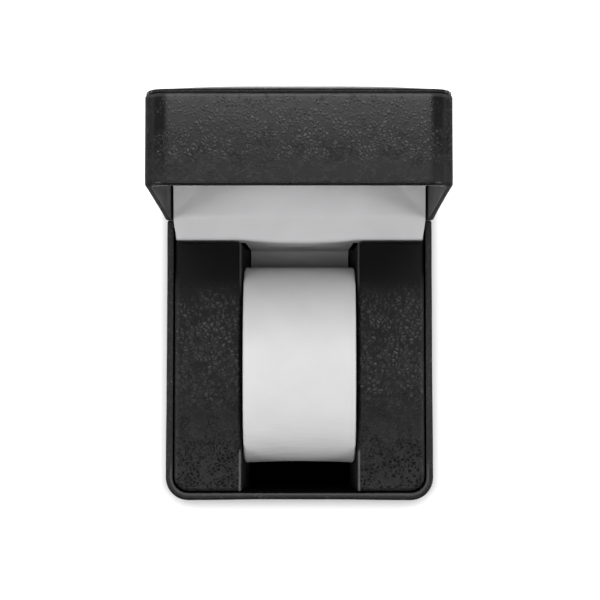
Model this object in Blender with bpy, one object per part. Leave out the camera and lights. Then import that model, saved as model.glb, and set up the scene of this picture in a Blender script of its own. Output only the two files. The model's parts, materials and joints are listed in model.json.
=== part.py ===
"""Watch gift box: a leatherette box with a padded sprung lid and a lift-out white cuff.

Frame: +X to the right, +Y to the back, +Z up. The origin is the middle of the underside,
on the table. Lengths are in metres. The lid stands open at a right angle.
"""

import math

import bmesh
import bpy
from mathutils import Vector

# Driving sizes of the whole box
BOX_WIDTH = 0.102
BOX_LENGTH = 0.107
BASE_HEIGHT = 0.048
LID_WALL_HEIGHT = 0.0312
FRONT_CORNER_RADIUS = 0.0084
REAR_CORNER_RADIUS = 0.0012
LEAST_RADIUS = 0.0003
LID_OPEN_ANGLE = math.radians(-90.0)

# Gaps
RIM_GAP = 0.0003
CLEARANCE = 0.0003
FIT_GAP = 0.00012
OVERRUN = 0.002
WELD = 0.000001

# Leatherette wraps of the base and the lid
WRAP_THICKNESS = 0.0004
WRAP_ROUNDING = 0.0008
WRAP_FOOT_GAP = 0.0002
LID_LIP_WIDTH = 0.0012

# Moulded base tray and the sheet under it
BASE_WALL = 0.0017
BASE_FLOOR = 0.0012
UNDERSIDE_SHEET = 0.0005

# Moulded lid shell
LID_WALL = 0.0010
LID_PLATE = 0.0012

# Padded top of the lid
PAD_COVER = 0.0006
PAD_EDGE_RISE = 0.0007
PAD_CROWN = 0.0045
PAD_SCALE_SHARES = (1.0, 0.97, 0.9, 0.8, 0.66, 0.48, 0.25)
CROWN_POWER = 4

# Satin cushion inside the lid
CUSHION_BOARD = 0.0015
CUSHION_THICKNESS = 0.0112
CUSHION_CROWN = 0.0025
CUSHION_SIDE_GAP = 0.0010
CUSHION_RADIUS = 0.005
CUSHION_DRAW_IN = 0.0012
CUSHION_BOARD_GAP = 0.0005

# Insert: two hollow blocks with a drafted channel between them
CHANNEL_TOP_HALF = 0.0223
CHANNEL_FLOOR_HALF = 0.0204
BLOCK_SIDE_GAP = 0.0006
BLOCK_FRONT_RADIUS = 0.0056
BLOCK_REAR_INNER_RADIUS = 0.0020
BLOCK_SMALL_RADIUS = 0.0008
BLOCK_TOP_ROUNDING = 0.0012
BLOCK_COVER = 0.0005
FORMER_WALL = 0.0012
FLOOR_BOARD = 0.0008
FLOOR_LINING = 0.0004
FRONT_BOARD = 0.0008
FRONT_BOARD_LEAN = 0.0011
HINGE_POCKET = 0.0055
REAR_BOARD = 0.0012
REAR_BOARD_DROP = 0.0012

# Satin flap from the channel floor over the hinge into the lid
FLAP_THICKNESS = 0.0004
FLAP_TAIL_LENGTH = 0.022
FLAP_FOLD_RADIUS = 0.0012
FLAP_BEND_RADIUS = 0.004
FLAP_LID_START = 0.0011
FLAP_LID_LENGTH = 0.017
FLAP_SIDE_DROP = 0.012
FLAP_BULGE = 0.0010
FLAP_CORNER_LIFT = 0.0010
FLAP_CORNER_WIDTH = 0.013
FLAP_COLUMN_SHARES = (-1.0, -0.9, -0.8, -0.66, -0.52, 0.52, 0.66, 0.8, 0.9, 1.0)
FLAP_CHANNEL_SHARES = (-1.0, -0.72, -0.38, 0.0, 0.38, 0.72, 1.0)

# Sprung hinges
HINGE_SIDE_DISTANCE = 0.021
LEAF_WIDTH = 0.016
LEAF_THICKNESS = 0.0005
LEAF_HEIGHT = 0.0095
BASE_LEAF_DROP = 0.0020
LID_KNUCKLE_WIDTH = 0.0074
KNUCKLE_RADIUS = 0.0011
PIN_RADIUS = 0.00055
PIN_GAP = 0.0001
PIN_HEAD_RADIUS = 0.00085
PIN_HEAD = 0.0003
SPRING_WIDTH = 0.0064
SPRING_THICKNESS = 0.0003
SPRING_HEIGHT = 0.0078
SPRING_BEND = 0.0010
RIVET_RADIUS = 0.0005
RIVET_HEAD_RADIUS = 0.0010
RIVET_HEAD = 0.00035
BASE_RIVET_SPACING = 0.0036
BASE_RIVET_DROP = 0.0068
LID_RIVET_SPACING_SHARE = 0.625
LID_RIVET_DEPTH = 0.0065

# Cuff: an oval sprung ring, open below
CUFF_END_ROOM = 0.0305
CUFF_RISE = 0.010
CUFF_CENTRE_Y = -0.0014
CUFF_SIDE_CLEARANCE = 0.0011
CUFF_OPENING = 0.024
CUFF_POWER = 2.15
CUFF_COVER = 0.0006
CUFF_CORE = 0.0015
CUFF_LINING = 0.0005

# Facets
PAD_SIDE_STEPS = 7
FRONT_CORNER_STEPS = 8
REAR_CORNER_STEPS = 3
BLOCK_CORNER_STEPS = 4
EDGE_STEPS = 3
FOLD_STEPS = 5
CUFF_STEPS = 48
BARREL_SIDES = 20
CURL_STEPS = 12
RIVET_SIDES = 12
SMOOTH_ANGLE = math.radians(32.0)

# Colours, linear
BLACK_LEATHERETTE = (0.018, 0.018, 0.019)
BLACK_PLASTIC = (0.020, 0.020, 0.021)
OLIVE_PLASTIC = (0.050, 0.052, 0.044)
BLACK_FLOCK = (0.010, 0.010, 0.011)
GREY_BOARD = (0.26, 0.24, 0.21)
WHITE_SATIN = (0.78, 0.78, 0.79)
WHITE_LEATHERETTE = (0.74, 0.74, 0.75)
CREAM_FOAM = (0.70, 0.68, 0.60)
STEEL = (0.58, 0.58, 0.57)

# Levels and faces that several pieces share
HINGE_OFFSET = BOX_WIDTH / 2 - HINGE_SIDE_DISTANCE
HINGE_Y = BOX_LENGTH / 2
HINGE_Z = BASE_HEIGHT
BASE_RIM_Z = HINGE_Z - RIM_GAP / 2
SKIN_INSET = WRAP_THICKNESS + CLEARANCE
BASE_INSET = SKIN_INSET + BASE_WALL
LID_INSET = SKIN_INSET + LID_WALL
TRAY_BOTTOM = UNDERSIDE_SHEET + CLEARANCE
TRAY_FLOOR = TRAY_BOTTOM + BASE_FLOOR
BLOCK_BOTTOM = TRAY_FLOOR + CLEARANCE
FLOOR_BOARD_TOP = BLOCK_BOTTOM + FLOOR_BOARD
LINING_BOTTOM = FLOOR_BOARD_TOP + CLEARANCE
CHANNEL_FLOOR = LINING_BOTTOM + FLOOR_LINING
REAR_BOARD_BACK = HINGE_Y - HINGE_POCKET
REAR_BOARD_FRONT = REAR_BOARD_BACK - REAR_BOARD
FLAP_UPRIGHT_Y = REAR_BOARD_FRONT - CLEARANCE - FLAP_THICKNESS / 2
BLOCK_REAR_Y = FLAP_UPRIGHT_Y - FLAP_THICKNESS / 2 - CLEARANCE
BLOCK_FRONT_Y = -HINGE_Y + BASE_INSET + BLOCK_SIDE_GAP
BLOCK_OUTER_X = BOX_WIDTH / 2 - BASE_INSET - BLOCK_SIDE_GAP
FRONT_BOARD_TOP_Y = -HINGE_Y + BASE_INSET + CLEARANCE
PLATE_TOP = LID_WALL_HEIGHT - WRAP_THICKNESS - CLEARANCE
PLATE_UNDERSIDE = PLATE_TOP - LID_PLATE
PAD_BOTTOM = PLATE_TOP + CLEARANCE
PAD_INSET = LID_LIP_WIDTH + CLEARANCE
BOARD_BACK = PLATE_UNDERSIDE - CLEARANCE
CUSHION_BACK = BOARD_BACK - CUSHION_BOARD - CLEARANCE
LID_RIVET_SPACING = LEAF_WIDTH * LID_RIVET_SPACING_SHARE
LID_LEAF_FACE = LID_INSET + FIT_GAP
LID_LEAF_TOP = LID_LEAF_FACE + LEAF_THICKNESS
LID_HARDWARE_TOP = LID_LEAF_TOP + FIT_GAP + RIVET_HEAD
FLAP_LID_LEVEL = LID_HARDWARE_TOP + CLEARANCE + FLAP_THICKNESS / 2
FLAP_HALF_WIDTH = BOX_WIDTH / 2 - BASE_INSET - CLEARANCE
BASE_LEAF_BACK = HINGE_Y - BASE_INSET - FIT_GAP
BASE_LEAF_FRONT = BASE_LEAF_BACK - LEAF_THICKNESS
NOTCH_DEPTH = KNUCKLE_RADIUS + CLEARANCE
CURL_THICKNESS = KNUCKLE_RADIUS - PIN_RADIUS - PIN_GAP
CURL_RADIUS = KNUCKLE_RADIUS - CURL_THICKNESS / 2
NOTCH_HALF = LEAF_WIDTH / 2 + FIT_GAP + PIN_HEAD + CLEARANCE
SPRING_BACK = BASE_LEAF_FRONT - FIT_GAP
SPRING_FRONT = SPRING_BACK - SPRING_THICKNESS
CUFF_BOTTOM = CHANNEL_FLOOR + CLEARANCE
CUFF_LENGTH = BOX_LENGTH - CUFF_END_ROOM
CUFF_GAP_ANGLE = math.asin((CUFF_OPENING / CUFF_LENGTH) ** (CUFF_POWER / 2))
CUFF_LIP_SHARE = math.cos(CUFF_GAP_ANGLE) ** (2 / CUFF_POWER)
CUFF_HALF_HEIGHT = (HINGE_Z + CUFF_RISE - CUFF_BOTTOM) / (1 + CUFF_LIP_SHARE)
CUFF_CENTRE_Z = HINGE_Z + CUFF_RISE - CUFF_HALF_HEIGHT
CUFF_TOTAL = CUFF_COVER + CLEARANCE + CUFF_CORE + CLEARANCE + CUFF_LINING
SIDES = {"left": -1, "right": 1}


def clear_scene():
    """Empty the open scene of its objects."""
    for item in list(bpy.data.objects):
        bpy.data.objects.remove(item, do_unlink=True)


def finish(name, colour, roughness, metallic=0.0):
    """A plain material for one piece."""
    material = bpy.data.materials.new(name)
    material.use_nodes = True
    shader = material.node_tree.nodes["Principled BSDF"]
    shader.inputs["Base Color"].default_value = (*colour, 1.0)
    shader.inputs["Roughness"].default_value = roughness
    shader.inputs["Metallic"].default_value = metallic
    return material


def leatherette(name, colour=BLACK_LEATHERETTE):
    """Coated paper or cloth with a pebbled grain."""
    return finish(name, colour, 0.42)


def plastic(name, colour=BLACK_PLASTIC):
    """Injection moulded plastic."""
    return finish(name, colour, 0.5)


def board(name, colour=GREY_BOARD):
    """Pressed paper board."""
    return finish(name, colour, 0.9)


def satin(name):
    """White satin cloth."""
    return finish(name, WHITE_SATIN, 0.45)


def foam(name):
    """Soft open foam."""
    return finish(name, CREAM_FOAM, 0.95)


def steel(name):
    """Plated spring steel."""
    return finish(name, STEEL, 0.28, 1.0)


def add_object(name, form, material, parent=None):
    """Turn a bmesh into a smooth shaded object, on its parent if it has one."""
    bmesh.ops.recalc_face_normals(form, faces=form.faces)
    mesh = bpy.data.meshes.new(name)
    form.to_mesh(mesh)
    form.free()
    mesh.shade_smooth()
    mesh.set_sharp_from_angle(angle=SMOOTH_ANGLE)
    item = bpy.data.objects.new(name, mesh)
    bpy.context.scene.collection.objects.link(item)
    if material:
        mesh.materials.append(material)
    item.parent = parent
    return item


def add_empty(name, place, turn=0.0):
    """An empty that carries moving pieces, turned about X."""
    empty = bpy.data.objects.new(name, None)
    empty.location = place
    empty.rotation_euler.x = turn
    bpy.context.scene.collection.objects.link(empty)
    return empty


def cut(target, cutter):
    """Take a hidden cutter out of a piece."""
    cutter.hide_render = True
    cutter.display_type = "WIRE"
    modifier = target.modifiers.new(cutter.name, "BOOLEAN")
    modifier.operation = "DIFFERENCE"
    modifier.object = cutter


def join(target, other):
    """Fuse a hidden helper shape into a piece."""
    other.hide_render = True
    other.display_type = "WIRE"
    modifier = target.modifiers.new(other.name, "BOOLEAN")
    modifier.operation = "UNION"
    modifier.object = other


def arc(centre, radius, start, end, steps):
    """Points of an arc in a plane, from one angle to another, both ends included."""
    points = []
    for step in range(steps + 1):
        angle = start + (end - start) * step / steps
        points.append((centre[0] + radius * math.cos(angle), centre[1] + radius * math.sin(angle)))
    return points


def corner_outline(corners):
    """A closed outline, counter-clockwise, of rounded right-angled corners.

    Each corner is (x, y, radius, steps), in the order rear right, rear left, front left, front right.
    """
    points = []
    for index, (x, y, radius, steps) in enumerate(corners):
        start = index * math.pi / 2
        across = 1 if index in (0, 3) else -1
        along = 1 if index in (0, 1) else -1
        centre = (x - across * radius, y - along * radius)
        points.extend(arc(centre, radius, start, start + math.pi / 2, steps))
    return points


def box_outline(inset, shift=0.0):
    """The plan of the box, drawn in by an inset and moved along Y by a shift."""
    x = BOX_WIDTH / 2 - inset
    y = BOX_LENGTH / 2 - inset
    front = max(FRONT_CORNER_RADIUS - inset, LEAST_RADIUS)
    rear = max(REAR_CORNER_RADIUS - inset, LEAST_RADIUS)
    outline = corner_outline(
        (
            (x, y, rear, REAR_CORNER_STEPS),
            (-x, y, rear, REAR_CORNER_STEPS),
            (-x, -y, front, FRONT_CORNER_STEPS),
            (x, -y, front, FRONT_CORNER_STEPS),
        )
    )
    return [(px, py + shift) for px, py in outline]


def with_side_points(outline, longest):
    """The same outline with its long straight sides cut into steps."""
    finer = []
    for first, second in zip(outline, outline[1:] + outline[:1]):
        span = math.dist(first, second)
        count = max(1, math.ceil(span / longest))
        for step in range(count):
            share = step / count
            x = first[0] + (second[0] - first[0]) * share
            y = first[1] + (second[1] - first[1]) * share
            finer.append((x, y))
    return finer


def level(outline, z):
    """An outline as points at one height."""
    return [Vector((x, y, z)) for x, y in outline]


def loft(loops, ring=False):
    """A closed form extruded through loops of as many points each, capped unless it is a ring."""
    form = bmesh.new()
    row = [form.verts.new(point) for point in loops[0]]
    edges = [form.edges.new(pair) for pair in zip(row, row[1:] + row[:1])]
    if not ring:
        form.faces.new(row)
    for loop in loops[1:] + (loops[:1] if ring else []):
        made = bmesh.ops.extrude_edge_only(form, edges=edges)["geom"]
        copies = {tuple(item.co): item for item in made if isinstance(item, bmesh.types.BMVert)}
        row = [copies[tuple(vert.co)] for vert in row]
        edges = [form.edges.get(pair) for pair in zip(row, row[1:] + row[:1])]
        for vert, point in zip(row, loop):
            vert.co = point
    if ring:
        bmesh.ops.remove_doubles(form, verts=form.verts, dist=WELD)
    else:
        form.faces.new(row)
    return form


def block_form(low, high):
    """A right-angled block between two corners."""
    form = bmesh.new()
    bmesh.ops.create_cube(form, size=1.0)
    low = Vector(low)
    high = Vector(high)
    bmesh.ops.scale(form, vec=high - low, verts=form.verts)
    bmesh.ops.translate(form, vec=(high + low) / 2, verts=form.verts)
    return form


def add_block(name, low, high, material=None, parent=None):
    """A right-angled block as an object."""
    return add_object(name, block_form(low, high), material, parent)


def rod_form(start, end, radius, sides):
    """A round rod between two points."""
    form = bmesh.new()
    start = Vector(start)
    end = Vector(end)
    way = end - start
    bmesh.ops.create_cone(
        form, cap_ends=True, segments=sides, radius1=radius, radius2=radius, depth=way.length
    )
    turn = Vector((0, 0, 1)).rotation_difference(way).to_matrix()
    bmesh.ops.rotate(form, cent=(0, 0, 0), matrix=turn, verts=form.verts)
    bmesh.ops.translate(form, vec=(start + end) / 2, verts=form.verts)
    return form


def add_rod(name, start, end, radius, sides, material=None, parent=None):
    """A round rod as an object."""
    return add_object(name, rod_form(start, end, radius, sides), material, parent)


def stepped_rod_form(start, way, sections, sides):
    """A turned pin along a way: sections are (from, to, radius) lengths along it, in order."""
    start = Vector(start)
    way = Vector(way)
    side = Vector((0, 0, 1)).cross(way).normalized()
    if side.length == 0:
        side = Vector((1, 0, 0))
    rise = way.cross(side)
    loops = []
    for begin, end, radius in sections:
        for distance in (begin, end):
            ring = arc((0, 0), radius, 0, 2 * math.pi, sides)[:-1]
            loops.append([start + way * distance + side * a + rise * b for a, b in ring])
    return loft(loops)


def wrap_loops(bottom, top, lip, shift=0.0):
    """Loops of a skin: up the outside, rounded over the top edge, in by the lip and back under."""
    turn = arc((WRAP_ROUNDING, top - WRAP_ROUNDING), WRAP_ROUNDING, math.pi, math.pi / 2, EDGE_STEPS)
    profile = [(0.0, bottom), *turn, (lip, top), (lip, top - WRAP_THICKNESS)]
    profile += [(WRAP_THICKNESS, top - WRAP_THICKNESS), (WRAP_THICKNESS, bottom)]
    return [level(box_outline(inset, shift), z) for inset, z in profile]


def build_base_tray():
    """Moulded tray: walls, floor and notches for the hinge barrels."""
    profile = [
        (SKIN_INSET, TRAY_BOTTOM),
        (SKIN_INSET, BASE_RIM_Z - WRAP_THICKNESS - CLEARANCE),
        (BASE_INSET, BASE_RIM_Z - WRAP_THICKNESS - CLEARANCE),
        (BASE_INSET, TRAY_FLOOR),
    ]
    form = loft([level(box_outline(inset), z) for inset, z in profile])
    return add_object("base_tray", form, plastic("base_tray"))


def build_base_wrap():
    """Leatherette round the base, turned in over the rim."""
    form = loft(wrap_loops(WRAP_FOOT_GAP, BASE_RIM_Z, BASE_INSET), ring=True)
    return add_object("base_wrap", form, leatherette("base_wrap"))


def build_underside_sheet():
    """Flocked sheet that the box stands on."""
    outline = box_outline(SKIN_INSET)
    form = loft([level(outline, 0.0), level(outline, UNDERSIDE_SHEET)])
    return add_object("underside_sheet", form, finish("underside_sheet", BLACK_FLOCK, 0.95))


def channel_half(z):
    """Half the channel's width at a height: its walls lean out towards the rim."""
    share = (z - CHANNEL_FLOOR) / (BASE_RIM_Z - CHANNEL_FLOOR)
    return CHANNEL_FLOOR_HALF + (CHANNEL_TOP_HALF - CHANNEL_FLOOR_HALF) * share


def block_loop(side, z, inset, drawn=0.0):
    """The plan of one insert block at a height, inset all round and drawn in at its top edge."""
    away = inset + drawn
    inner = channel_half(z) + away
    outer = BLOCK_OUTER_X - away
    rear = BLOCK_REAR_Y - away
    front = BLOCK_FRONT_Y + away
    outline = corner_outline(
        (
            (outer, rear, max(BLOCK_SMALL_RADIUS - away, LEAST_RADIUS), BLOCK_CORNER_STEPS),
            (inner, rear, max(BLOCK_REAR_INNER_RADIUS - away, LEAST_RADIUS), BLOCK_CORNER_STEPS),
            (inner, front, max(BLOCK_SMALL_RADIUS - away, LEAST_RADIUS), BLOCK_CORNER_STEPS),
            (outer, front, max(BLOCK_FRONT_RADIUS - away, LEAST_RADIUS), BLOCK_CORNER_STEPS),
        )
    )
    return level([(side * x, y) for x, y in outline], z)


def block_side(side, inset, bottom):
    """Loops from the foot of a block up to its flat top, at one inset."""
    top = BASE_RIM_Z - inset
    rounding = max(BLOCK_TOP_ROUNDING - inset, LEAST_RADIUS)
    loops = [block_loop(side, bottom, inset)]
    for drawn, rise in arc((rounding, 0), rounding, math.pi, math.pi / 2, EDGE_STEPS):
        loops.append(block_loop(side, top - rounding + rise, inset, drawn))
    return loops


def shell_form(side, outer_inset, thickness, bottom):
    """A cap over a block, open below, between two insets."""
    inside = block_side(side, outer_inset + thickness, bottom)
    outside = block_side(side, outer_inset, bottom)
    return loft(inside[::-1] + outside)


def build_insert_blocks():
    """Hollow plastic formers and their leatherette covers, left and right of the channel."""
    for word, side in SIDES.items():
        name = f"{word}_block_former"
        form = shell_form(side, BLOCK_COVER + CLEARANCE, FORMER_WALL, BLOCK_BOTTOM)
        add_object(name, form, plastic(name))
        name = f"{word}_block_cover"
        form = shell_form(side, 0.0, BLOCK_COVER, BLOCK_BOTTOM)
        add_object(name, form, leatherette(name))


def front_board_face(z):
    """Y of the front board's front face: its foot stands further into the channel."""
    share = (BASE_RIM_Z - z) / (BASE_RIM_Z - BLOCK_BOTTOM)
    return FRONT_BOARD_TOP_Y + FRONT_BOARD_LEAN * share


def build_channel_boards():
    """Floor board, floor lining and leaning front board of the channel."""
    front = front_board_face(BLOCK_BOTTOM) + FRONT_BOARD + CLEARANCE
    rear = REAR_BOARD_FRONT - CLEARANCE
    layers = (
        ("channel_floor_board", BLOCK_BOTTOM, FLOOR_BOARD_TOP, board),
        ("channel_floor_lining", LINING_BOTTOM, CHANNEL_FLOOR, leatherette),
    )
    for name, bottom, top, make in layers:
        half = channel_half(bottom) - CLEARANCE
        add_block(name, (-half, front, bottom), (half, rear, top), make(name))
    loops = []
    for z in (BLOCK_BOTTOM, BASE_RIM_Z - BLOCK_TOP_ROUNDING):
        half = channel_half(z) - CLEARANCE
        y = front_board_face(z)
        loops.append(
            [
                Vector((half, y + FRONT_BOARD, z)),
                Vector((-half, y + FRONT_BOARD, z)),
                Vector((-half, y, z)),
                Vector((half, y, z)),
            ]
        )
    add_object("channel_front_board", loft(loops), leatherette("channel_front_board"))


def build_rear_board():
    """Upright board that hides the hinges and carries the satin."""
    half = FLAP_HALF_WIDTH
    low = (-half, REAR_BOARD_FRONT, BLOCK_BOTTOM)
    high = (half, REAR_BOARD_BACK, BASE_RIM_Z - REAR_BOARD_DROP)
    add_block("rear_board", low, high, board("rear_board"))


def rounded_path(points, radii):
    """A path in Y and Z with each inner corner rounded to its radius."""
    path = [Vector(points[0])]
    for index, radius in enumerate(radii, start=1):
        corner = Vector(points[index])
        back = (Vector(points[index - 1]) - corner).normalized()
        ahead = (Vector(points[index + 1]) - corner).normalized()
        half_angle = back.angle(ahead) / 2
        centre = corner + (back + ahead).normalized() * radius / math.sin(half_angle)
        reach = radius / math.tan(half_angle)
        start = corner + back * reach - centre
        end = corner + ahead * reach - centre
        for step in range(FOLD_STEPS + 1):
            way = start.lerp(end, step / FOLD_STEPS).normalized()
            path.append(centre + way * radius)
    path.append(Vector(points[-1]))
    return path


def smooth_share(value):
    """A share from 0 to 1 that eases in and out."""
    value = min(max(value, 0.0), 1.0)
    return value * value * (3 - 2 * value)


def flap_path():
    """The flap's middle line at rest, from the channel floor up and over into the lid."""
    tail = CHANNEL_FLOOR + CLEARANCE + FLAP_THICKNESS / 2
    fold = BASE_RIM_Z - REAR_BOARD_DROP + FLAP_FOLD_RADIUS / 2
    lid_level = HINGE_Z + FLAP_LID_LEVEL
    points = (
        (FLAP_UPRIGHT_Y - FLAP_TAIL_LENGTH, tail),
        (FLAP_UPRIGHT_Y, tail),
        (FLAP_UPRIGHT_Y, fold),
        (HINGE_Y + FLAP_LID_START, lid_level),
        (HINGE_Y + FLAP_LID_LENGTH, lid_level),
    )
    path = rounded_path(points, (FLAP_FOLD_RADIUS, FLAP_FOLD_RADIUS, FLAP_BEND_RADIUS))
    return subdivided(path, FLAP_BEND_RADIUS)


def subdivided(path, longest):
    """The same path with its long straight stretches cut into steps."""
    finer = [path[0]]
    for first, second in zip(path, path[1:]):
        count = max(1, math.ceil((second - first).length / longest))
        for step in range(1, count + 1):
            finer.append(first.lerp(second, step / count))
    return finer


def flap_half(z):
    """Half the width of the flap between the blocks at a height."""
    return channel_half(min(z, BASE_RIM_Z)) - CLEARANCE - FLAP_THICKNESS


def flap_point(x, station, channel):
    """A point of the flap: it bulges in the channel and its corners lift in the lid."""
    y, z = station
    across = min(abs(x) / channel, 1.0)
    if abs(x) <= channel:
        x *= flap_half(z) / channel
    height = (z - CHANNEL_FLOOR) / (BASE_RIM_Z - CHANNEL_FLOOR)
    if y < HINGE_Y - HINGE_POCKET and height > 0:
        y -= FLAP_BULGE * (1 - across**2) * smooth_share(height)
    inward = smooth_share((abs(x) - FLAP_HALF_WIDTH + FLAP_CORNER_WIDTH) / FLAP_CORNER_WIDTH)
    deep = smooth_share((y - HINGE_Y - FLAP_LID_START) / (FLAP_LID_LENGTH - FLAP_LID_START))
    return Vector((x, y, z + FLAP_CORNER_LIFT * inward * deep))


def build_satin_flap():
    """One satin sheet: tail on the channel floor, upright, fold over the board, stretch into the lid."""
    path = flap_path()
    channel = flap_half(CHANNEL_FLOOR)
    columns = [share * FLAP_HALF_WIDTH for share in FLAP_COLUMN_SHARES]
    middle = [share * channel for share in FLAP_CHANNEL_SHARES]
    columns = sorted([x for x in columns if abs(x) > channel] + middle)
    wide_from = BASE_RIM_Z - FLAP_SIDE_DROP
    form = bmesh.new()
    rows = [[form.verts.new(flap_point(x, station, channel)) for x in columns] for station in path]
    for index, (row, following) in enumerate(zip(rows, rows[1:])):
        wide = min(path[index].y, path[index + 1].y) > wide_from
        for column in range(len(columns) - 1):
            outside = max(abs(columns[column]), abs(columns[column + 1])) > channel + WELD
            if outside and not wide:
                continue
            corners = (row[column], row[column + 1], following[column + 1], following[column])
            form.faces.new(corners)
    loose = [vert for vert in form.verts if not vert.link_faces]
    bmesh.ops.delete(form, geom=loose, context="VERTS")
    item = add_object("satin_flap", form, satin("satin_flap"))
    modifier = item.modifiers.new("thickness", "SOLIDIFY")
    modifier.thickness = FLAP_THICKNESS
    modifier.offset = 0.0
    return item


def crown(x, y, half_x, half_y, centre_y):
    """A share of a pad's crown: 1 at its middle and 0 along its edges."""
    across = min(abs(x) / half_x, 1.0) ** CROWN_POWER
    along = min(abs(y - centre_y) / half_y, 1.0) ** CROWN_POWER
    return (1 - across) * (1 - along)


def pad_outline(inset, centre_y):
    """The plan of the lid pad, its sides cut into as many steps at every inset."""
    outer = with_side_points(box_outline(PAD_INSET), BOX_WIDTH / PAD_SIDE_STEPS)
    half_x = BOX_WIDTH / 2
    half_y = BOX_LENGTH / 2
    share_x = (half_x - inset) / (half_x - PAD_INSET)
    share_y = (half_y - inset) / (half_y - PAD_INSET)
    return [(x * share_x, y * share_y + centre_y) for x, y in outer]


def pad_loops(inset, edge, crown_height, bottom):
    """Loops of the lid pad's top side at one inset: up its edge and in over the crown."""
    centre_y = -BOX_LENGTH / 2
    outline = pad_outline(inset, centre_y)
    half_x = BOX_WIDTH / 2 - inset
    half_y = BOX_LENGTH / 2 - inset
    loops = [level(outline, bottom)]
    for share in PAD_SCALE_SHARES:
        loop = []
        for x, y in outline:
            px = x * share
            py = centre_y + (y - centre_y) * share
            loop.append(Vector((px, py, edge + crown_height * crown(px, py, half_x, half_y, centre_y))))
        loops.append(loop)
    return loops


def build_lid_pad(axis):
    """Foam pad on the lid and the leatherette drawn over it."""
    edge = LID_WALL_HEIGHT + PAD_EDGE_RISE
    outside = pad_loops(PAD_INSET, edge, PAD_CROWN, PAD_BOTTOM)
    inside = pad_loops(PAD_INSET + PAD_COVER, edge - PAD_COVER, PAD_CROWN, PAD_BOTTOM)
    form = loft(inside[::-1] + outside)
    add_object("lid_pad_cover", form, leatherette("lid_pad_cover"), axis)
    inner = PAD_INSET + PAD_COVER + CLEARANCE
    form = loft(pad_loops(inner, edge - PAD_COVER - CLEARANCE, PAD_CROWN, PAD_BOTTOM))
    add_object("lid_pad_foam", form, foam("lid_pad_foam"), axis)


def build_lid_shell(axis):
    """Moulded lid: top plate and walls, its mouth at the rim plane."""
    profile = [
        (SKIN_INSET, PLATE_TOP),
        (SKIN_INSET, RIM_GAP / 2),
        (LID_INSET, RIM_GAP / 2),
        (LID_INSET, PLATE_UNDERSIDE),
    ]
    form = loft([level(box_outline(inset, -BOX_LENGTH / 2), z) for inset, z in profile])
    return add_object("lid_shell", form, plastic("lid_shell", OLIVE_PLASTIC), axis)


def build_lid_wrap(axis):
    """Leatherette round the lid's walls, turned in under the padded top."""
    loops = wrap_loops(RIM_GAP / 2, LID_WALL_HEIGHT, LID_LIP_WIDTH, -BOX_LENGTH / 2)
    return add_object("lid_wrap", loft(loops, ring=True), leatherette("lid_wrap"), axis)


def cushion_loop(drawn, z, crown_height=0.0, share=1.0):
    """The plan of the lid cushion, drawn in all round, scaled to a share and crowned."""
    half = BOX_WIDTH / 2 - LID_INSET - CUSHION_SIDE_GAP
    rear = -FLAP_LID_LEVEL - FLAP_THICKNESS / 2 - FLAP_CORNER_LIFT - CLEARANCE
    front = -BOX_LENGTH + LID_INSET + CUSHION_SIDE_GAP
    half_y = (rear - front) / 2
    centre_y = (rear + front) / 2
    radius = CUSHION_RADIUS
    corners = []
    for side_x, side_y in ((1, 1), (-1, 1), (-1, -1), (1, -1)):
        corner_x = side_x * (half - drawn)
        corner_y = side_y * (half_y - drawn)
        corners.append((corner_x, corner_y, radius, BLOCK_CORNER_STEPS))
    loop = []
    for x, y in with_side_points(corner_outline(corners), 2 * half / PAD_SIDE_STEPS):
        px = x * share
        py = centre_y + y * share
        lift = crown_height * crown(px, py, half, half_y, centre_y)
        loop.append(Vector((px, py, z - lift)))
    return loop


def build_lid_cushion(axis):
    """Board and satin cushion inside the lid, its crown towards the mouth."""
    half_board = BOX_WIDTH / 2 - LID_INSET - CUSHION_BOARD_GAP
    low = (-half_board, -BOX_LENGTH + LID_INSET + FRONT_CORNER_RADIUS / 2, BOARD_BACK - CUSHION_BOARD)
    high = (half_board, -LID_INSET - CUSHION_BOARD_GAP, BOARD_BACK)
    add_block("lid_cushion_board", low, high, board("lid_cushion_board"), axis)
    face = CUSHION_BACK - CUSHION_THICKNESS
    bulge = CUSHION_THICKNESS / 3
    loops = [
        cushion_loop(CUSHION_DRAW_IN, CUSHION_BACK),
        cushion_loop(CUSHION_DRAW_IN / 4, CUSHION_BACK - bulge),
        cushion_loop(0.0, CUSHION_BACK - 2 * bulge),
        cushion_loop(CUSHION_DRAW_IN / 4, face + bulge / 3),
        cushion_loop(CUSHION_DRAW_IN, face),
    ]
    for share in PAD_SCALE_SHARES[1:]:
        loops.append(cushion_loop(CUSHION_DRAW_IN, face, CUSHION_CROWN, share))
    add_object("lid_cushion", loft(loops), satin("lid_cushion"), axis)


def hinge_notches(x, name, wall_pieces, centre, parent=None):
    """Cut room for one hinge barrel out of the rear wall and its skin."""
    y, z = centre
    low = (x - NOTCH_HALF, y - BASE_INSET - OVERRUN, z - NOTCH_DEPTH)
    high = (x + NOTCH_HALF, y + OVERRUN, z + NOTCH_DEPTH)
    notch = add_block(name, low, high, parent=parent)
    for piece in wall_pieces:
        cut(piece, notch)


def curl_path(plate_y, side):
    """A leaf's middle line from its axis frame: along the plate, round the bend, then round the pin.

    The side is -1 where the plate hangs below the pin's axis and 1 where it stands above it.
    """
    level_z = side * CURL_RADIUS
    far = side * (BASE_LEAF_DROP + LEAF_THICKNESS)
    path = rounded_path(((plate_y, far), (plate_y, level_z), (0.0, level_z)), (CURL_THICKNESS,))
    turn = arc((0.0, 0.0), CURL_RADIUS, side * math.pi / 2, -side * math.pi, CURL_STEPS)
    return path + [Vector(point) for point in turn[1:]]


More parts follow.
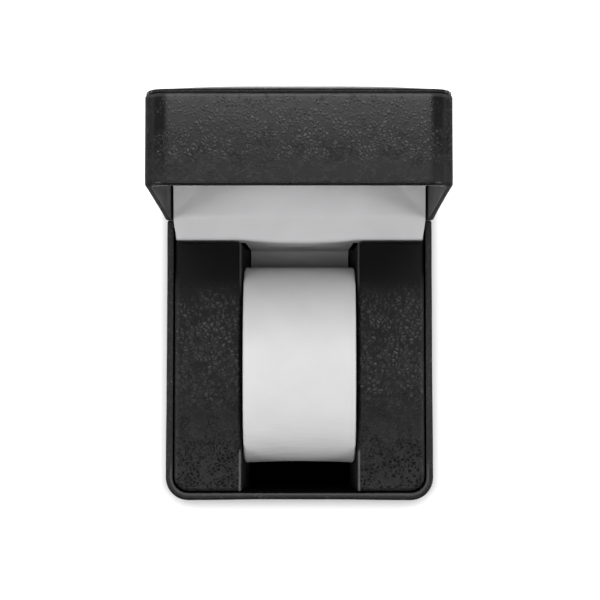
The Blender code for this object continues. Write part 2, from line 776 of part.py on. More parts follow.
def strip_form(path, x, width, thickness):
    """A bent strip: a middle line in Y and Z, its width along X."""
    loops = []
    for index, point in enumerate(path):
        before = path[max(index - 1, 0)]
        after = path[min(index + 1, len(path) - 1)]
        way = (after - before).normalized()
        off = Vector((-way.y, way.x)) * thickness / 2
        corners = []
        for side, shift in ((-1, -1), (1, -1), (1, 1), (-1, 1)):
            corner = point + off * shift
            corners.append(Vector((x + side * width / 2, corner.x, corner.y)))
        loops.append(corners)
    return loft(loops)


def add_ear(name, x, span, path, origin, parent):
    """One rolled ear of a leaf: a strip that ends in a knuckle."""
    begin, end = span
    placed = [point + Vector(origin) for point in path]
    form = strip_form(placed, x + (begin + end) / 2, end - begin, CURL_THICKNESS)
    return add_object(name, form, None, parent)


def build_base_leaf(word, x):
    """Steel leaf on the base's rear wall, with a rolled knuckle at each end."""
    name = f"{word}_hinge_base_leaf"
    half = LEAF_WIDTH / 2
    inner = LID_KNUCKLE_WIDTH / 2 + CLEARANCE
    low = (x - half, BASE_LEAF_FRONT, HINGE_Z - LEAF_HEIGHT)
    high = (x + half, BASE_LEAF_BACK, HINGE_Z - BASE_LEAF_DROP)
    leaf = add_block(name, low, high, steel(name))
    path = curl_path((BASE_LEAF_FRONT + BASE_LEAF_BACK) / 2 - HINGE_Y, -1)
    for index, span in enumerate(((-half, -inner), (inner, half))):
        ear = add_ear(f"{name}_ear_{index}", x, span, path, (HINGE_Y, HINGE_Z), None)
        join(leaf, ear)
    return leaf


def build_lid_leaf(word, x, axis):
    """Steel leaf on the lid's rear wall, with one rolled knuckle between the base's two."""
    name = f"{word}_hinge_lid_leaf"
    half = LEAF_WIDTH / 2
    low = (x - half, -LID_LEAF_TOP, BASE_LEAF_DROP)
    leaf = add_block(name, low, (x + half, -LID_LEAF_FACE, LEAF_HEIGHT), steel(name), axis)
    reach = LID_KNUCKLE_WIDTH / 2
    path = curl_path(-(LID_LEAF_TOP + LID_LEAF_FACE) / 2, 1)
    join(leaf, add_ear(f"{name}_ear", x, (-reach, reach), path, (0.0, 0.0), axis))
    return leaf


def build_hinge_pin(word, x):
    """Headed pin through the knuckles."""
    name = f"{word}_hinge_pin"
    half = LEAF_WIDTH / 2 + FIT_GAP
    length = 2 * half
    sections = (
        (-PIN_HEAD, 0.0, PIN_HEAD_RADIUS),
        (0.0, length, PIN_RADIUS),
        (length, length + PIN_HEAD, PIN_HEAD_RADIUS),
    )
    form = stepped_rod_form((x - half, HINGE_Y, HINGE_Z), (1, 0, 0), sections, BARREL_SIDES)
    add_object(name, form, steel(name))


def build_hinge_spring(word, x):
    """Flat spring on the base leaf, its end bent back to press on the lid's knuckle."""
    name = f"{word}_hinge_spring"
    middle = SPRING_BACK - SPRING_THICKNESS / 2
    bend = HINGE_Z - KNUCKLE_RADIUS + SPRING_THICKNESS
    tip = HINGE_Y - KNUCKLE_RADIUS - CLEARANCE - SPRING_THICKNESS / 2
    points = ((middle, bend - SPRING_HEIGHT), (middle, bend), (tip, bend))
    form = strip_form(rounded_path(points, (SPRING_BEND,)), x, SPRING_WIDTH, SPRING_THICKNESS)
    return add_object(name, form, steel(name))


def build_rivet(name, head_face, way, length, parent=None):
    """Rivet: a flat head and a shank along its way."""
    sections = ((-RIVET_HEAD, 0.0, RIVET_HEAD_RADIUS), (0.0, length, RIVET_RADIUS))
    form = stepped_rod_form(head_face, way, sections, RIVET_SIDES)
    return add_object(name, form, steel(name), parent)


def rivet_hole(name, head_face, way, parent=None):
    """A cutter for a rivet's hole, longer than the stack it goes through."""
    start = Vector(head_face) - Vector(way) * OVERRUN
    end = Vector(head_face) + Vector(way) * (LEAF_THICKNESS + BASE_WALL + OVERRUN)
    radius = RIVET_RADIUS + FIT_GAP
    return add_rod(name, start, end, radius, RIVET_SIDES, parent=parent)


def build_base_rivets(word, x, pieces):
    """Two rivets through the spring, the base leaf and the tray's rear wall."""
    face = SPRING_FRONT - FIT_GAP
    length = HINGE_Y - SKIN_INSET - face
    for index, side in enumerate((-1, 1), start=1):
        place = (x + side * BASE_RIVET_SPACING / 2, face, HINGE_Z - BASE_RIVET_DROP)
        name = f"{word}_hinge_base_rivet_{index}"
        build_rivet(name, place, (0, 1, 0), length)
        hole = rivet_hole(f"{name}_hole", place, (0, 1, 0))
        for piece in pieces:
            cut(piece, hole)


def build_lid_rivets(word, x, pieces, axis):
    """Two rivets through the lid leaf and the lid's rear wall."""
    face = -LID_LEAF_TOP - FIT_GAP
    length = -SKIN_INSET - face
    for index, side in enumerate((-1, 1), start=1):
        place = (x + side * LID_RIVET_SPACING / 2, face, LID_RIVET_DEPTH)
        name = f"{word}_hinge_lid_rivet_{index}"
        build_rivet(name, place, (0, 1, 0), length, axis)
        hole = rivet_hole(f"{name}_hole", place, (0, 1, 0), axis)
        for piece in pieces:
            cut(piece, hole)


def build_hinges(base_tray, base_wrap, lid_shell, lid_wrap, axis):
    """Both sprung hinges, their notches and their rivets."""
    for word, side in SIDES.items():
        x = side * HINGE_OFFSET
        hinge_notches(x, f"{word}_base_notch", (base_tray, base_wrap), (HINGE_Y, HINGE_Z))
        hinge_notches(x, f"{word}_lid_notch", (lid_shell, lid_wrap), (0.0, 0.0), axis)
        base_leaf = build_base_leaf(word, x)
        lid_leaf = build_lid_leaf(word, x, axis)
        build_hinge_pin(word, x)
        spring = build_hinge_spring(word, x)
        build_base_rivets(word, x, (spring, base_leaf, base_tray))
        build_lid_rivets(word, x, (lid_leaf, lid_shell), axis)


def cuff_stations():
    """Points and inward directions round the oval, from one lip of its opening to the other."""
    half_length = CUFF_LENGTH / 2
    start = -math.pi / 2 + CUFF_GAP_ANGLE
    turn = 2 * (math.pi - CUFF_GAP_ANGLE)
    stations = []
    for step in range(CUFF_STEPS + 1):
        angle = start + turn * step / CUFF_STEPS
        y = half_length * rounded_power(math.cos(angle))
        z = CUFF_HALF_HEIGHT * rounded_power(math.sin(angle))
        stations.append(Vector((y, z)))
    return stations


def rounded_power(value):
    """A sine or cosine drawn towards a fuller oval."""
    return math.copysign(abs(value) ** (2 / CUFF_POWER), value)


def cuff_band(corners):
    """A band round the oval: its section is given as (side, edge gap, depth) corners."""
    stations = cuff_stations()
    loops = []
    for index, station in enumerate(stations):
        before = stations[max(index - 1, 0)]
        after = stations[min(index + 1, len(stations) - 1)]
        way = (after - before).normalized()
        inward = Vector((-way.y, way.x))
        loop = []
        for side, edge_gap, depth in corners:
            point = station + inward * depth
            half = channel_half(CUFF_CENTRE_Z + station.y) - CUFF_SIDE_CLEARANCE - edge_gap
            loop.append(Vector((side * half, point.x, CUFF_CENTRE_Z - CUFF_BOTTOM + point.y)))
        loops.append(loop)
    return loft(loops)


def flat_section(edge_gap, begin, end):
    """Corners of a plain band between two depths."""
    return ((-1, edge_gap, begin), (1, edge_gap, begin), (1, edge_gap, end), (-1, edge_gap, end))


def build_cuff():
    """Sprung plastic core, white leatherette turned over its edges, and the lining inside."""
    seat = add_empty("cuff_seat", (0.0, CUFF_CENTRE_Y, CUFF_BOTTOM))
    cover = (
        (-1, 0.0, 0.0),
        (1, 0.0, 0.0),
        (1, 0.0, CUFF_TOTAL),
        (1, CUFF_COVER, CUFF_TOTAL),
        (1, CUFF_COVER, CUFF_COVER),
        (-1, CUFF_COVER, CUFF_COVER),
        (-1, CUFF_COVER, CUFF_TOTAL),
        (-1, 0.0, CUFF_TOTAL),
    )
    add_object("cuff_cover", cuff_band(cover), leatherette("cuff_cover", WHITE_LEATHERETTE), seat)
    edge = CUFF_COVER + CLEARANCE
    core_end = edge + CUFF_CORE
    core = cuff_band(flat_section(edge, edge, core_end))
    add_object("cuff_core", core, plastic("cuff_core", WHITE_LEATHERETTE), seat)
    lining = cuff_band(flat_section(edge, core_end + CLEARANCE, CUFF_TOTAL))
    add_object("cuff_lining", lining, leatherette("cuff_lining", WHITE_LEATHERETTE), seat)


def main():
    """Build every piece of the box."""
    clear_scene()
    axis = add_empty("lid_axis", (0.0, HINGE_Y, HINGE_Z), LID_OPEN_ANGLE)
    base_tray = build_base_tray()
    base_wrap = build_base_wrap()
    build_underside_sheet()
    build_insert_blocks()
    build_channel_boards()
    build_rear_board()
    build_satin_flap()
    lid_shell = build_lid_shell(axis)
    lid_wrap = build_lid_wrap(axis)
    build_lid_pad(axis)
    build_lid_cushion(axis)
    build_hinges(base_tray, base_wrap, lid_shell, lid_wrap, axis)
    build_cuff()


main()
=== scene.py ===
"""Looks of the watch gift box: its finishes, soft pieces, floor, lamps and camera."""

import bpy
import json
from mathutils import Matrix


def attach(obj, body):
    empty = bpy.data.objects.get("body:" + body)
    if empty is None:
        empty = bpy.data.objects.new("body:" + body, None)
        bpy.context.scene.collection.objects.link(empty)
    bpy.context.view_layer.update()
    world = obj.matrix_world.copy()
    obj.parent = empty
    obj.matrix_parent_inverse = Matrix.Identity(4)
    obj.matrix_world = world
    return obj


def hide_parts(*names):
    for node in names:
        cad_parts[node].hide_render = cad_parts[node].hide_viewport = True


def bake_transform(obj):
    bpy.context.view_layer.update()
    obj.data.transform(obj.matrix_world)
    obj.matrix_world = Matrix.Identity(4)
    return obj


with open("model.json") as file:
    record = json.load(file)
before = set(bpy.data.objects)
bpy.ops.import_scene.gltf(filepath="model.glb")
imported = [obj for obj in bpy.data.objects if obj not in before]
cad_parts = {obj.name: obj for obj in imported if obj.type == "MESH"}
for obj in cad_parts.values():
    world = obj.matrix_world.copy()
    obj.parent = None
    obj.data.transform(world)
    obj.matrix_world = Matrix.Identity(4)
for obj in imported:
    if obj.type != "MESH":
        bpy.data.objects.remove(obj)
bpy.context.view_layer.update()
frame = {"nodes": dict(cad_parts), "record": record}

import json
import logging
import math
from contextlib import contextmanager
from dataclasses import dataclass
from enum import Enum
from typing import Callable, Iterator

import bmesh
import bpy
import numpy as np
from mathutils import Vector

log = logging.getLogger("watch_box")
MM = 0.001

Socket = bpy.types.NodeSocket
Solid = bpy.types.Object
Triple = tuple[float, float, float]


class Axis(Enum):
    """The axis that a pattern runs along."""

    X = 0
    Y = 1
    Z = 2


class Bench:
    """Modelling steps that every new piece shares."""

    @staticmethod
    def deselect() -> None:
        """Leave nothing selected and no object active."""
        bpy.ops.object.select_all(action="DESELECT")
        bpy.context.view_layer.objects.active = None

    @staticmethod
    def focus(item: Solid) -> None:
        """Make one object the only selected and the active one.

        Args:
            item: The object.
        """
        Bench.deselect()
        item.select_set(True)
        bpy.context.view_layer.objects.active = item

    @staticmethod
    def named(name: str) -> Solid:
        """Name the primitive that was just added, with its place moved into its mesh.

        Args:
            name: The piece's name.

        Returns:
            The active object.
        """
        item = bpy.context.active_object
        item.name = name
        item.data.name = name
        bpy.ops.object.transform_apply(location=True, rotation=True, scale=True)
        return item

    @staticmethod
    def grid(name: str, columns: int, rows: int, size: float = 1.0) -> Solid:
        """Add a flat square grid, to be bent into a sheet.

        Args:
            name: The piece's name.
            columns: How many faces it has along X.
            rows: How many it has along Y.
            size: Its width in metres.

        Returns:
            The grid.
        """
        Bench.deselect()
        bpy.ops.mesh.primitive_grid_add(x_subdivisions=columns, y_subdivisions=rows, size=size)
        return Bench.named(name)

    @staticmethod
    @contextmanager
    def editing(item: Solid, mode: str = "FACE") -> Iterator[None]:
        """Edit mode on one object with nothing selected, left again at the end.

        Args:
            item: The object to edit.
            mode: VERT, EDGE or FACE.
        """
        Bench.focus(item)
        bpy.ops.object.mode_set(mode="EDIT")
        bpy.ops.mesh.select_mode(type=mode)
        bpy.ops.mesh.select_all(action="DESELECT")
        yield
        bpy.ops.object.mode_set(mode="OBJECT")

    @staticmethod
    def pick(item: Solid, parts: str, test: Callable[..., bool]) -> None:
        """Select the faces or edges that pass a test, in edit mode.

        Args:
            item: The object being edited.
            parts: faces or edges.
            test: Says whether a face or edge is wanted.
        """
        form = bmesh.from_edit_mesh(item.data)
        for part in getattr(form, parts):
            part.select_set(bool(test(part)))
        form.select_flush_mode()
        bmesh.update_edit_mesh(item.data)

    @staticmethod
    def points(item: Solid) -> np.ndarray:
        """The object's vertices as an array of three columns.

        Args:
            item: The object.

        Returns:
            Their places in metres.
        """
        flat = np.empty(len(item.data.vertices) * 3)
        item.data.vertices.foreach_get("co", flat)
        return flat.reshape(-1, 3)

    @staticmethod
    def place(item: Solid, points: np.ndarray) -> None:
        """Move the object's vertices to new places."""
        item.data.vertices.foreach_set("co", points.astype(float).ravel())
        item.data.update()

    @staticmethod
    def apply(item: Solid, kind: str, **settings: object) -> None:
        """Add a modifier, set it and apply it at once.

        Args:
            item: The object.
            kind: The modifier's type.
            settings: Its properties.
        """
        Bench.focus(item)
        modifier = item.modifiers.new(kind.lower(), kind)
        for key, value in settings.items():
            setattr(modifier, key, value)
        bpy.ops.object.modifier_apply(modifier=modifier.name)

    @staticmethod
    def outward(item: Solid) -> None:
        """Turn every face to point out.

        Args:
            item: The object.
        """
        with Bench.editing(item):
            bpy.ops.mesh.select_all(action="SELECT")
            bpy.ops.mesh.normals_make_consistent(inside=False)

    @staticmethod
    def smooth(item: Solid, degrees: float = 35.0) -> None:
        """Shade smooth but for edges sharper than an angle."""
        Bench.focus(item)
        bpy.ops.object.shade_smooth_by_angle(angle=math.radians(degrees))

    @staticmethod
    def dress(item: Solid, material: bpy.types.Material) -> None:
        """Give the object one material."""
        item.data.materials.clear()
        item.data.materials.append(material)


class Graph:
    """One material's nodes, added in code."""

    def __init__(self, name: str) -> None:
        """Start a material with its shader and the object's own coordinates.

        Args:
            name: The material's name.
        """
        self.material = bpy.data.materials.new(name)
        self.material.use_nodes = True
        self.tree = self.material.node_tree
        self.shader = self.tree.nodes["Principled BSDF"]
        self.place = self.add("ShaderNodeTexCoord").outputs["Object"]

    def add(self, kind: str, **settings: object) -> bpy.types.Node:
        """Add a node and set its properties.

        Args:
            kind: The node's type.
            settings: Its properties.

        Returns:
            The node.
        """
        node = self.tree.nodes.new(kind)
        for key, value in settings.items():
            setattr(node, key, value)
        return node

    def feed(self, node: bpy.types.Node, socket: str | int, value: object) -> None:
        """Link a socket to an output, or set its value.

        Args:
            node: The node.
            socket: The socket's name or number.
            value: An output, a number or a colour.
        """
        target = node.inputs[socket]
        if isinstance(value, Socket):
            self.tree.links.new(value, target)
        else:
            target.default_value = value

    def set(self, **values: object) -> None:
        """Set or link the shader's sockets, their names written with underscores."""
        for key, value in values.items():
            self.feed(self.shader, key.replace("_", " "), value)

    def maths(self, operation: str, first: object, second: object = 0.0) -> Socket:
        """A Math node's result.

        Args:
            operation: What it does.
            first: An output or a number.
            second: Another.

        Returns:
            The result.
        """
        node = self.add("ShaderNodeMath", operation=operation)
        self.feed(node, 0, first)
        self.feed(node, 1, second)
        return node.outputs[0]

    def noise(
        self, size: float, detail: float = 3.0, place: object = None, roughness: float = 0.5
    ) -> Socket:
        """Cloudy noise whose patches are about a size in metres.

        Args:
            size: The patches' size in metres.
            detail: How many finer layers it has.
            place: Coordinates, the object's own if none are given.
            roughness: How strong the finer layers are.

        Returns:
            A value from 0 to 1.
        """
        node = self.add("ShaderNodeTexNoise")
        self.feed(node, "Vector", place or self.place)
        self.feed(node, "Scale", 1.0 / size)
        self.feed(node, "Detail", detail)
        self.feed(node, "Roughness", roughness)
        return node.outputs["Fac"]

    def cells(self, size: float, place: object = None, feature: str = "SMOOTH_F1") -> Socket:
        """Distance to the nearest of scattered cell centres, in cells.

        Args:
            size: The cells' size in metres.
            place: Coordinates, the object's own if none are given.
            feature: What is measured in a cell.

        Returns:
            The distance.
        """
        node = self.add("ShaderNodeTexVoronoi", feature=feature)
        self.feed(node, "Vector", place or self.place)
        self.feed(node, "Scale", 1.0 / size)
        if feature == "SMOOTH_F1":
            self.feed(node, "Smoothness", 0.6)
        return node.outputs["Distance"]

    def range(
        self, value: object, low: float, high: float, start: float = 0.0, end: float = 1.0
    ) -> Socket:
        """A value's range mapped to another, eased and held at both ends.

        Args:
            value: The value.
            low: Where its range starts.
            high: Where its range ends.
            start: What low becomes.
            end: What high becomes.

        Returns:
            The mapped value.
        """
        node = self.add("ShaderNodeMapRange", interpolation_type="SMOOTHSTEP")
        sockets = ("Value", "From Min", "From Max", "To Min", "To Max")
        for socket, part in zip(sockets, (value, low, high, start, end)):
            self.feed(node, socket, part)
        return node.outputs["Result"]

    def colour(self, factor: object, first: object, second: object) -> Socket:
        """A mix of two colours.

        Args:
            factor: The second colour's share.
            first: A colour.
            second: A colour.

        Returns:
            The mixed colour.
        """
        node = self.add("ShaderNodeMix", data_type="RGBA")
        self.feed(node, 0, factor)
        for index, part in ((6, first), (7, second)):
            self.feed(node, index, (*part, 1.0) if isinstance(part, tuple) else part)
        return node.outputs[2]

    def warped(self, size: float, amount: float) -> Socket:
        """The object's coordinates pushed about by noise.

        Args:
            size: The noise's patches in metres.
            amount: How far a point moves at most, in metres.

        Returns:
            Coordinates.
        """
        noise = self.add("ShaderNodeTexNoise")
        self.feed(noise, "Vector", self.place)
        self.feed(noise, "Scale", 1.0 / size)
        push = self.add("ShaderNodeVectorMath", operation="SCALE")
        self.feed(push, 0, noise.outputs["Color"])
        self.feed(push, "Scale", amount)
        total = self.add("ShaderNodeVectorMath", operation="ADD")
        self.feed(total, 0, self.place)
        self.feed(total, 1, push.outputs[0])
        return total.outputs[0]

    def stretched(self, scale: tuple, place: object = None) -> Socket:
        """Coordinates scaled along each axis.

        Args:
            scale: One factor for each axis.
            place: Coordinates, the object's own if none are given.

        Returns:
            The scaled coordinates.
        """
        node = self.add("ShaderNodeMapping")
        self.feed(node, "Vector", place or self.place)
        node.inputs["Scale"].default_value = scale
        return node.outputs[0]

    def part(self, axis: Axis, place: object = None) -> Socket:
        """One coordinate.

        Args:
            axis: Which one.
            place: Coordinates, the object's own if none are given.

        Returns:
            The coordinate.
        """
        node = self.add("ShaderNodeSeparateXYZ")
        self.feed(node, 0, place or self.place)
        return node.outputs[axis.value]

    def bands(self, pitch: float, axis: Axis, place: object = None) -> Socket:
        """Sine ridges at a pitch along an axis, from 0 to 1."""
        turn = self.product(self.part(axis, place), 2 * math.pi / pitch)
        return self.maths("MULTIPLY_ADD", self.maths("SINE", turn), 0.5)

    def product(self, first: object, *others: object) -> Socket:
        """The product of two or more values.

        Args:
            first: An output or a number.
            others: What it is multiplied by.

        Returns:
            The product.
        """
        for other in others:
            first = self.maths("MULTIPLY", first, other)
        return first

    def bumps(self, *layers: tuple[object, float]) -> Socket:
        """Bumps laid over each other.

        Args:
            layers: The height of each, from 0 to 1, and its depth in metres.

        Returns:
            The bent normal.
        """
        normal = None
        for height, depth in layers:
            node = self.add("ShaderNodeBump")
            self.feed(node, "Height", height)
            node.inputs["Distance"].default_value = depth
            node.inputs["Strength"].default_value = 1.0
            if normal is not None:
                self.feed(node, "Normal", normal)
            normal = node.outputs[0]
        return normal


@dataclass(frozen=True)
class Finish:
    """A finish that becomes one material."""

    name: str

    def build(self) -> bpy.types.Material:
        """The finish as a material.

        Returns:
            The material.
        """
        graph = Graph(self.name)
        self.paint(graph)
        return graph.material

    def paint(self, graph: Graph) -> None:
        """Add the finish's nodes."""
        raise NotImplementedError


@dataclass(frozen=True)
class Stretch:
    """Where along Y a grain shows, in metres.

    It grows from start to full and fades from last to end.
    """

    start: float
    full: float
    last: float
    end: float
    amount: float = 1.0

    def mask(self, graph: Graph) -> Socket:
        """The grain's strength from 0 to its amount.

        Args:
            graph: The material's nodes.

        Returns:
            The strength.
        """
        part = graph.part(Axis.Y)
        grown = graph.range(part, self.start, self.full, 0.0, self.amount)
        return graph.product(grown, graph.range(part, self.end, self.last))


@dataclass(frozen=True)
class Band:
    """A band along an edge, in metres.

    It runs from start to end out from the middle, or in from the outline that the mesh notes.
    """

    start: float
    end: float
    along: Stretch
    amount: float
    soft: float = 0.15 * MM
    inset: bool = False

    def mask(self, graph: Graph) -> Socket:
        """The band's strength from 0 to its amount.

        Args:
            graph: The material's nodes.

        Returns:
            The strength.
        """
        if self.inset:
            across = graph.add("ShaderNodeAttribute", attribute_name="inset").outputs["Fac"]
        else:
            across = graph.maths("ABSOLUTE", graph.part(Axis.X))
        soft = self.soft
        inner = graph.range(across, self.start - soft, self.start + soft, 0.0, self.amount)
        outer = graph.range(across, self.end + soft, self.end - soft)
        return graph.product(inner, outer, self.along.mask(graph))


EVERYWHERE = Stretch(-1.0, -0.9, 0.9, 1.0)
NOWHERE = Stretch(-1.0, -0.9, 0.9, 1.0, amount=0.0)


@dataclass(frozen=True)
class Leatherette(Finish):
    """Coated cloth whose grain changes over the sheet: pebbles, pits between walls, and creases.

    Pebble tops are painted lighter as a painted highlight and pits and creases darker as painted
    shade; some bands carry a painted highlight and others painted shade, and it may be dull near
    its middle or edges.
    """

    colour: Triple = (0.011,) * 3
    # Pebble tops, and in part the walls between pits, are painted this lighter colour as a painted
    # highlight.
    painted_pebble_highlight: Triple = (0.034,) * 3
    # Pits, creases and the shade bands are painted this darker colour as painted shade.
    painted_shade_colour: Triple = (0.0015,) * 3
    # The colour of the painted highlight bands.
    painted_band_highlight: Triple = (0.12,) * 3
    roughness: float = 0.36
    specular: float = 0.20
    pebble: float = 1.5 * MM
    pebble_depth: float = 0.10 * MM
    pebble_share: float = 0.45
    pit: float = 1.5 * MM
    pit_depth: float = 0.14 * MM
    crease: float = 2.6 * MM
    crease_depth: float = 0.10 * MM
    fine_depth: float = 0.012 * MM
    patch: float = 12 * MM
    patch_rough: float = 0.04
    pebble_shine: float = 0.12
    hollow_rough: float = 0.5
    dull_rough: float = 0.6
    dull_fade: float = 2.5 * MM
    crease_share: float = 0.8
    wall_share: float = 0.3
    dull_within: float = 0.0
    dull_beyond: float = 1.0
    # Bands of painted highlight; on moulded plastic the same name holds the colour of real scuffs.
    wear_and_highlights: tuple[Band, ...] = ()
    # Bands of painted shade.
    painted_shade: tuple[Band, ...] = ()
    pebbled: Stretch = EVERYWHERE
    pitted: Stretch = NOWHERE
    creased: Stretch = Stretch(-1.0, -0.9, 0.9, 1.0, amount=0.11)

    def paint(self, graph: Graph) -> None:
        """Add the finish's nodes.

        Args:
            graph: The material's nodes.
        """
        patches = graph.noise(self.patch, 2.0)
        pebbles = self.pebbles(graph, patches)
        pits = self.pits(graph)
        creases = self.creases(graph)
        normal = graph.bumps(
            (pebbles, self.pebble_depth),
            (pits, -self.pit_depth),
            (creases, -self.crease_depth),
            (graph.noise(0.5 * MM, 2.0), self.fine_depth),
        )
        low = graph.maths("MAXIMUM", pits, graph.product(creases, self.crease_share))
        least = self.roughness - self.patch_rough / 2
        roughness = graph.maths("ADD", least, graph.product(patches, self.patch_rough))
        shine = graph.product(pebbles, self.pebble_shine)
        roughness = graph.maths("SUBTRACT", roughness, shine)
        roughness = graph.maths("ADD", roughness, graph.product(low, self.hollow_rough))
        beside = graph.maths("ABSOLUTE", graph.part(Axis.X))
        inner = graph.maths("LESS_THAN", beside, self.dull_within)
        outer = graph.range(beside, self.dull_beyond - self.dull_fade, self.dull_beyond)
        dull = graph.maths("MAXIMUM", inner, outer)
        roughness = graph.maths("ADD", roughness, graph.product(dull, self.dull_rough))
        # Pebble tops, and in part the walls between pits, are painted lighter as a painted
        # highlight.
        walls = graph.product(self.pitted.mask(graph), self.wall_share)
        colour = graph.colour(graph.maths("MAXIMUM", pebbles, walls), self.colour, self.painted_pebble_highlight)
        # Pits and creases, then the shade bands, are painted darker as painted shade.
        for share in (low, *(band.mask(graph) for band in self.painted_shade)):
            colour = graph.colour(share, colour, self.painted_shade_colour)
        # Painted highlight bands, laid over everything else.
        for band in self.wear_and_highlights:
            colour = graph.colour(band.mask(graph), colour, self.painted_band_highlight)
        graph.set(
            Base_Color=colour,
            Roughness=roughness,
            Normal=normal,
            Specular_IOR_Level=self.specular,
        )

    def pebbles(self, graph: Graph, patches: Socket) -> Socket:
        """Smooth round bumps, thick in some patches and scattered in others.

        Args:
            graph: The material's nodes.
            patches: Cloudy noise that says where they are thick.

        Returns:
            Their height from 0 to 1.
        """
        bent = graph.warped(self.pebble * 2.2, self.pebble * 0.3)
        tops = graph.range(graph.cells(self.pebble, bent, "DISTANCE_TO_EDGE"), 0.05, 0.36)
        low, high = self.pebble_share - 0.12, self.pebble_share + 0.12
        some = graph.range(graph.noise(self.pebble * 2.2, 1.0), low, high)
        shown = graph.product(some, graph.range(patches, 0.35, 0.60, 0.45, 1.0))
        return graph.product(tops, shown, self.pebbled.mask(graph))

    def pits(self, graph: Graph) -> Socket:
        """Hollows between thin walls.

        Args:
            graph: The material's nodes.

        Returns:
            Their depth from 0 to 1.
        """
        bent = graph.warped(self.pit * 1.5, self.pit * 0.5)
        hollow = graph.range(graph.cells(self.pit, bent, "DISTANCE_TO_EDGE"), 0.10, 0.24)
        some = graph.range(graph.noise(self.pit * 2.2, 2.0), 0.34, 0.54, 0.35, 1.0)
        return graph.product(hollow, some, self.pitted.mask(graph))

    def creases(self, graph: Graph) -> Socket:
        """Fine creases that wander and branch.

        Args:
            graph: The material's nodes.

        Returns:
            Their depth from 0 to 1.
        """
        cloud = graph.noise(self.crease, 3.0, graph.warped(self.crease * 2, self.crease))
        from_line = graph.maths("ABSOLUTE", graph.maths("SUBTRACT", cloud, 0.5))
        lines = graph.range(from_line, 0.06, 0.0)
        some = graph.range(graph.noise(self.crease * 3, 1.0), 0.38, 0.62)
        return graph.product(lines, some, self.creased.mask(graph))


@dataclass(frozen=True)
class SmoothLeatherette(Finish):
    """White coated cloth, nearly plain, with fine wrinkles across one end."""

    colour: Triple
    shadow: Triple
    wrinkled_from: float
    wrinkled_to: float
    grain_depth: float = 0.018 * MM
    wrinkle_depth: float = 0.055 * MM

    def paint(self, graph: Graph) -> None:
        """Add the finish's nodes.

        Args:
            graph: The material's nodes.
        """
        grain = graph.cells(0.55 * MM, graph.warped(1.5 * MM, 0.3 * MM))
        across = graph.stretched((0.12, 1.0, 1.0), graph.warped(11 * MM, 2.0 * MM))
        wrinkles = graph.noise(1.1 * MM, 2.0, across)
        front = graph.range(graph.part(Axis.Y), self.wrinkled_from, self.wrinkled_to)
        upper = graph.range(graph.part(Axis.Z), 18 * MM, 40 * MM, 0.2, 1.0)
        ridges = graph.product(graph.range(wrinkles, 0.35, 0.65), front, upper)
        normal = graph.bumps((grain, self.grain_depth), (ridges, self.wrinkle_depth))
        tone = graph.range(graph.noise(14 * MM, 3.0), 0.3, 0.75)
        graph.set(
            Base_Color=graph.colour(tone, self.shadow, self.colour),
            Roughness=graph.range(grain, 0.0, 0.8, 0.46, 0.56),
            Normal=normal,
            Specular_IOR_Level=0.35,
        )


@dataclass(frozen=True)
class Satin(Finish):
    """White satin: a close weave with a soft sheen and slight pulls, painted greyer down in the
    channel as painted shade.
    """

    colour: Triple
    shadow: Triple
    pitch: float = 0.32 * MM
    across: Axis = Axis.X
    along: Axis = Axis.Y
    weave_depth: float = 0.02 * MM
    slub_depth: float = 0.03 * MM
    pull_depth: float = 0.35 * MM
    # Painted shade: the colour the satin is painted down in the channel.
    painted_channel_shade: Triple = (0.50, 0.50, 0.51)
    channel_shade_below: float = 46.5 * MM
    channel_shade_fade: float = 5 * MM

    def paint(self, graph: Graph) -> None:
        """Add the finish's nodes.

        Args:
            graph: The material's nodes.
        """
        weft = graph.bands(self.pitch, self.across)
        warp = graph.bands(self.pitch * 0.7, self.along)
        weave = graph.maths("MAXIMUM", weft, warp)
        pulls = graph.noise(7 * MM, 3.0, graph.stretched((0.35, 1.0, 1.0)))
        slubs = graph.noise(0.5 * MM, 2.0, graph.stretched((0.08, 1.0, 1.0)))
        normal = graph.bumps(
            (weave, self.weave_depth), (slubs, self.slub_depth), (pulls, self.pull_depth)
        )
        cloud = graph.range(graph.noise(22 * MM, 2.0), 0.3, 0.7)
        tone = graph.colour(cloud, self.shadow, self.colour)
        # Below this height the satin is painted greyer as painted shade.
        full = self.channel_shade_below - self.channel_shade_fade
        deep = graph.range(graph.part(Axis.Z), self.channel_shade_below, full)
        graph.set(
            Base_Color=graph.colour(deep, tone, self.painted_channel_shade),
            Roughness=graph.range(slubs, 0.2, 0.8, 0.42, 0.54),
            Normal=normal,
            Specular_IOR_Level=0.4,
            Sheen_Weight=0.15,
            Sheen_Roughness=0.4,
        )


@dataclass(frozen=True)
class Moulded(Finish):
    """Injection moulded plastic with a fine spark-eroded texture and flow marks."""

    colour: Triple
    # The colour of real scuffs and wear.
    wear_and_highlights: Triple
    roughness: float = 0.5
    specular: float = 0.4

    def paint(self, graph: Graph) -> None:
        """Add the finish's nodes.

        Args:
            graph: The material's nodes.
        """
        texture = graph.noise(0.3 * MM, 3.0)
        flow = graph.noise(18 * MM, 2.0, graph.stretched((1.0, 1.0, 0.3)))
        scratches = graph.noise(1.4 * MM, 4.0, graph.stretched((1.0, 0.2, 1.0)))
        scuffs = graph.range(scratches, 0.62, 0.75)
        graph.set(
            Base_Color=graph.colour(graph.product(scuffs, flow), self.colour, self.wear_and_highlights),
            Roughness=graph.range(flow, 0.3, 0.7, self.roughness - 0.05, self.roughness + 0.07),
            Normal=graph.bumps((texture, 0.03 * MM)),
            Specular_IOR_Level=self.specular,
        )


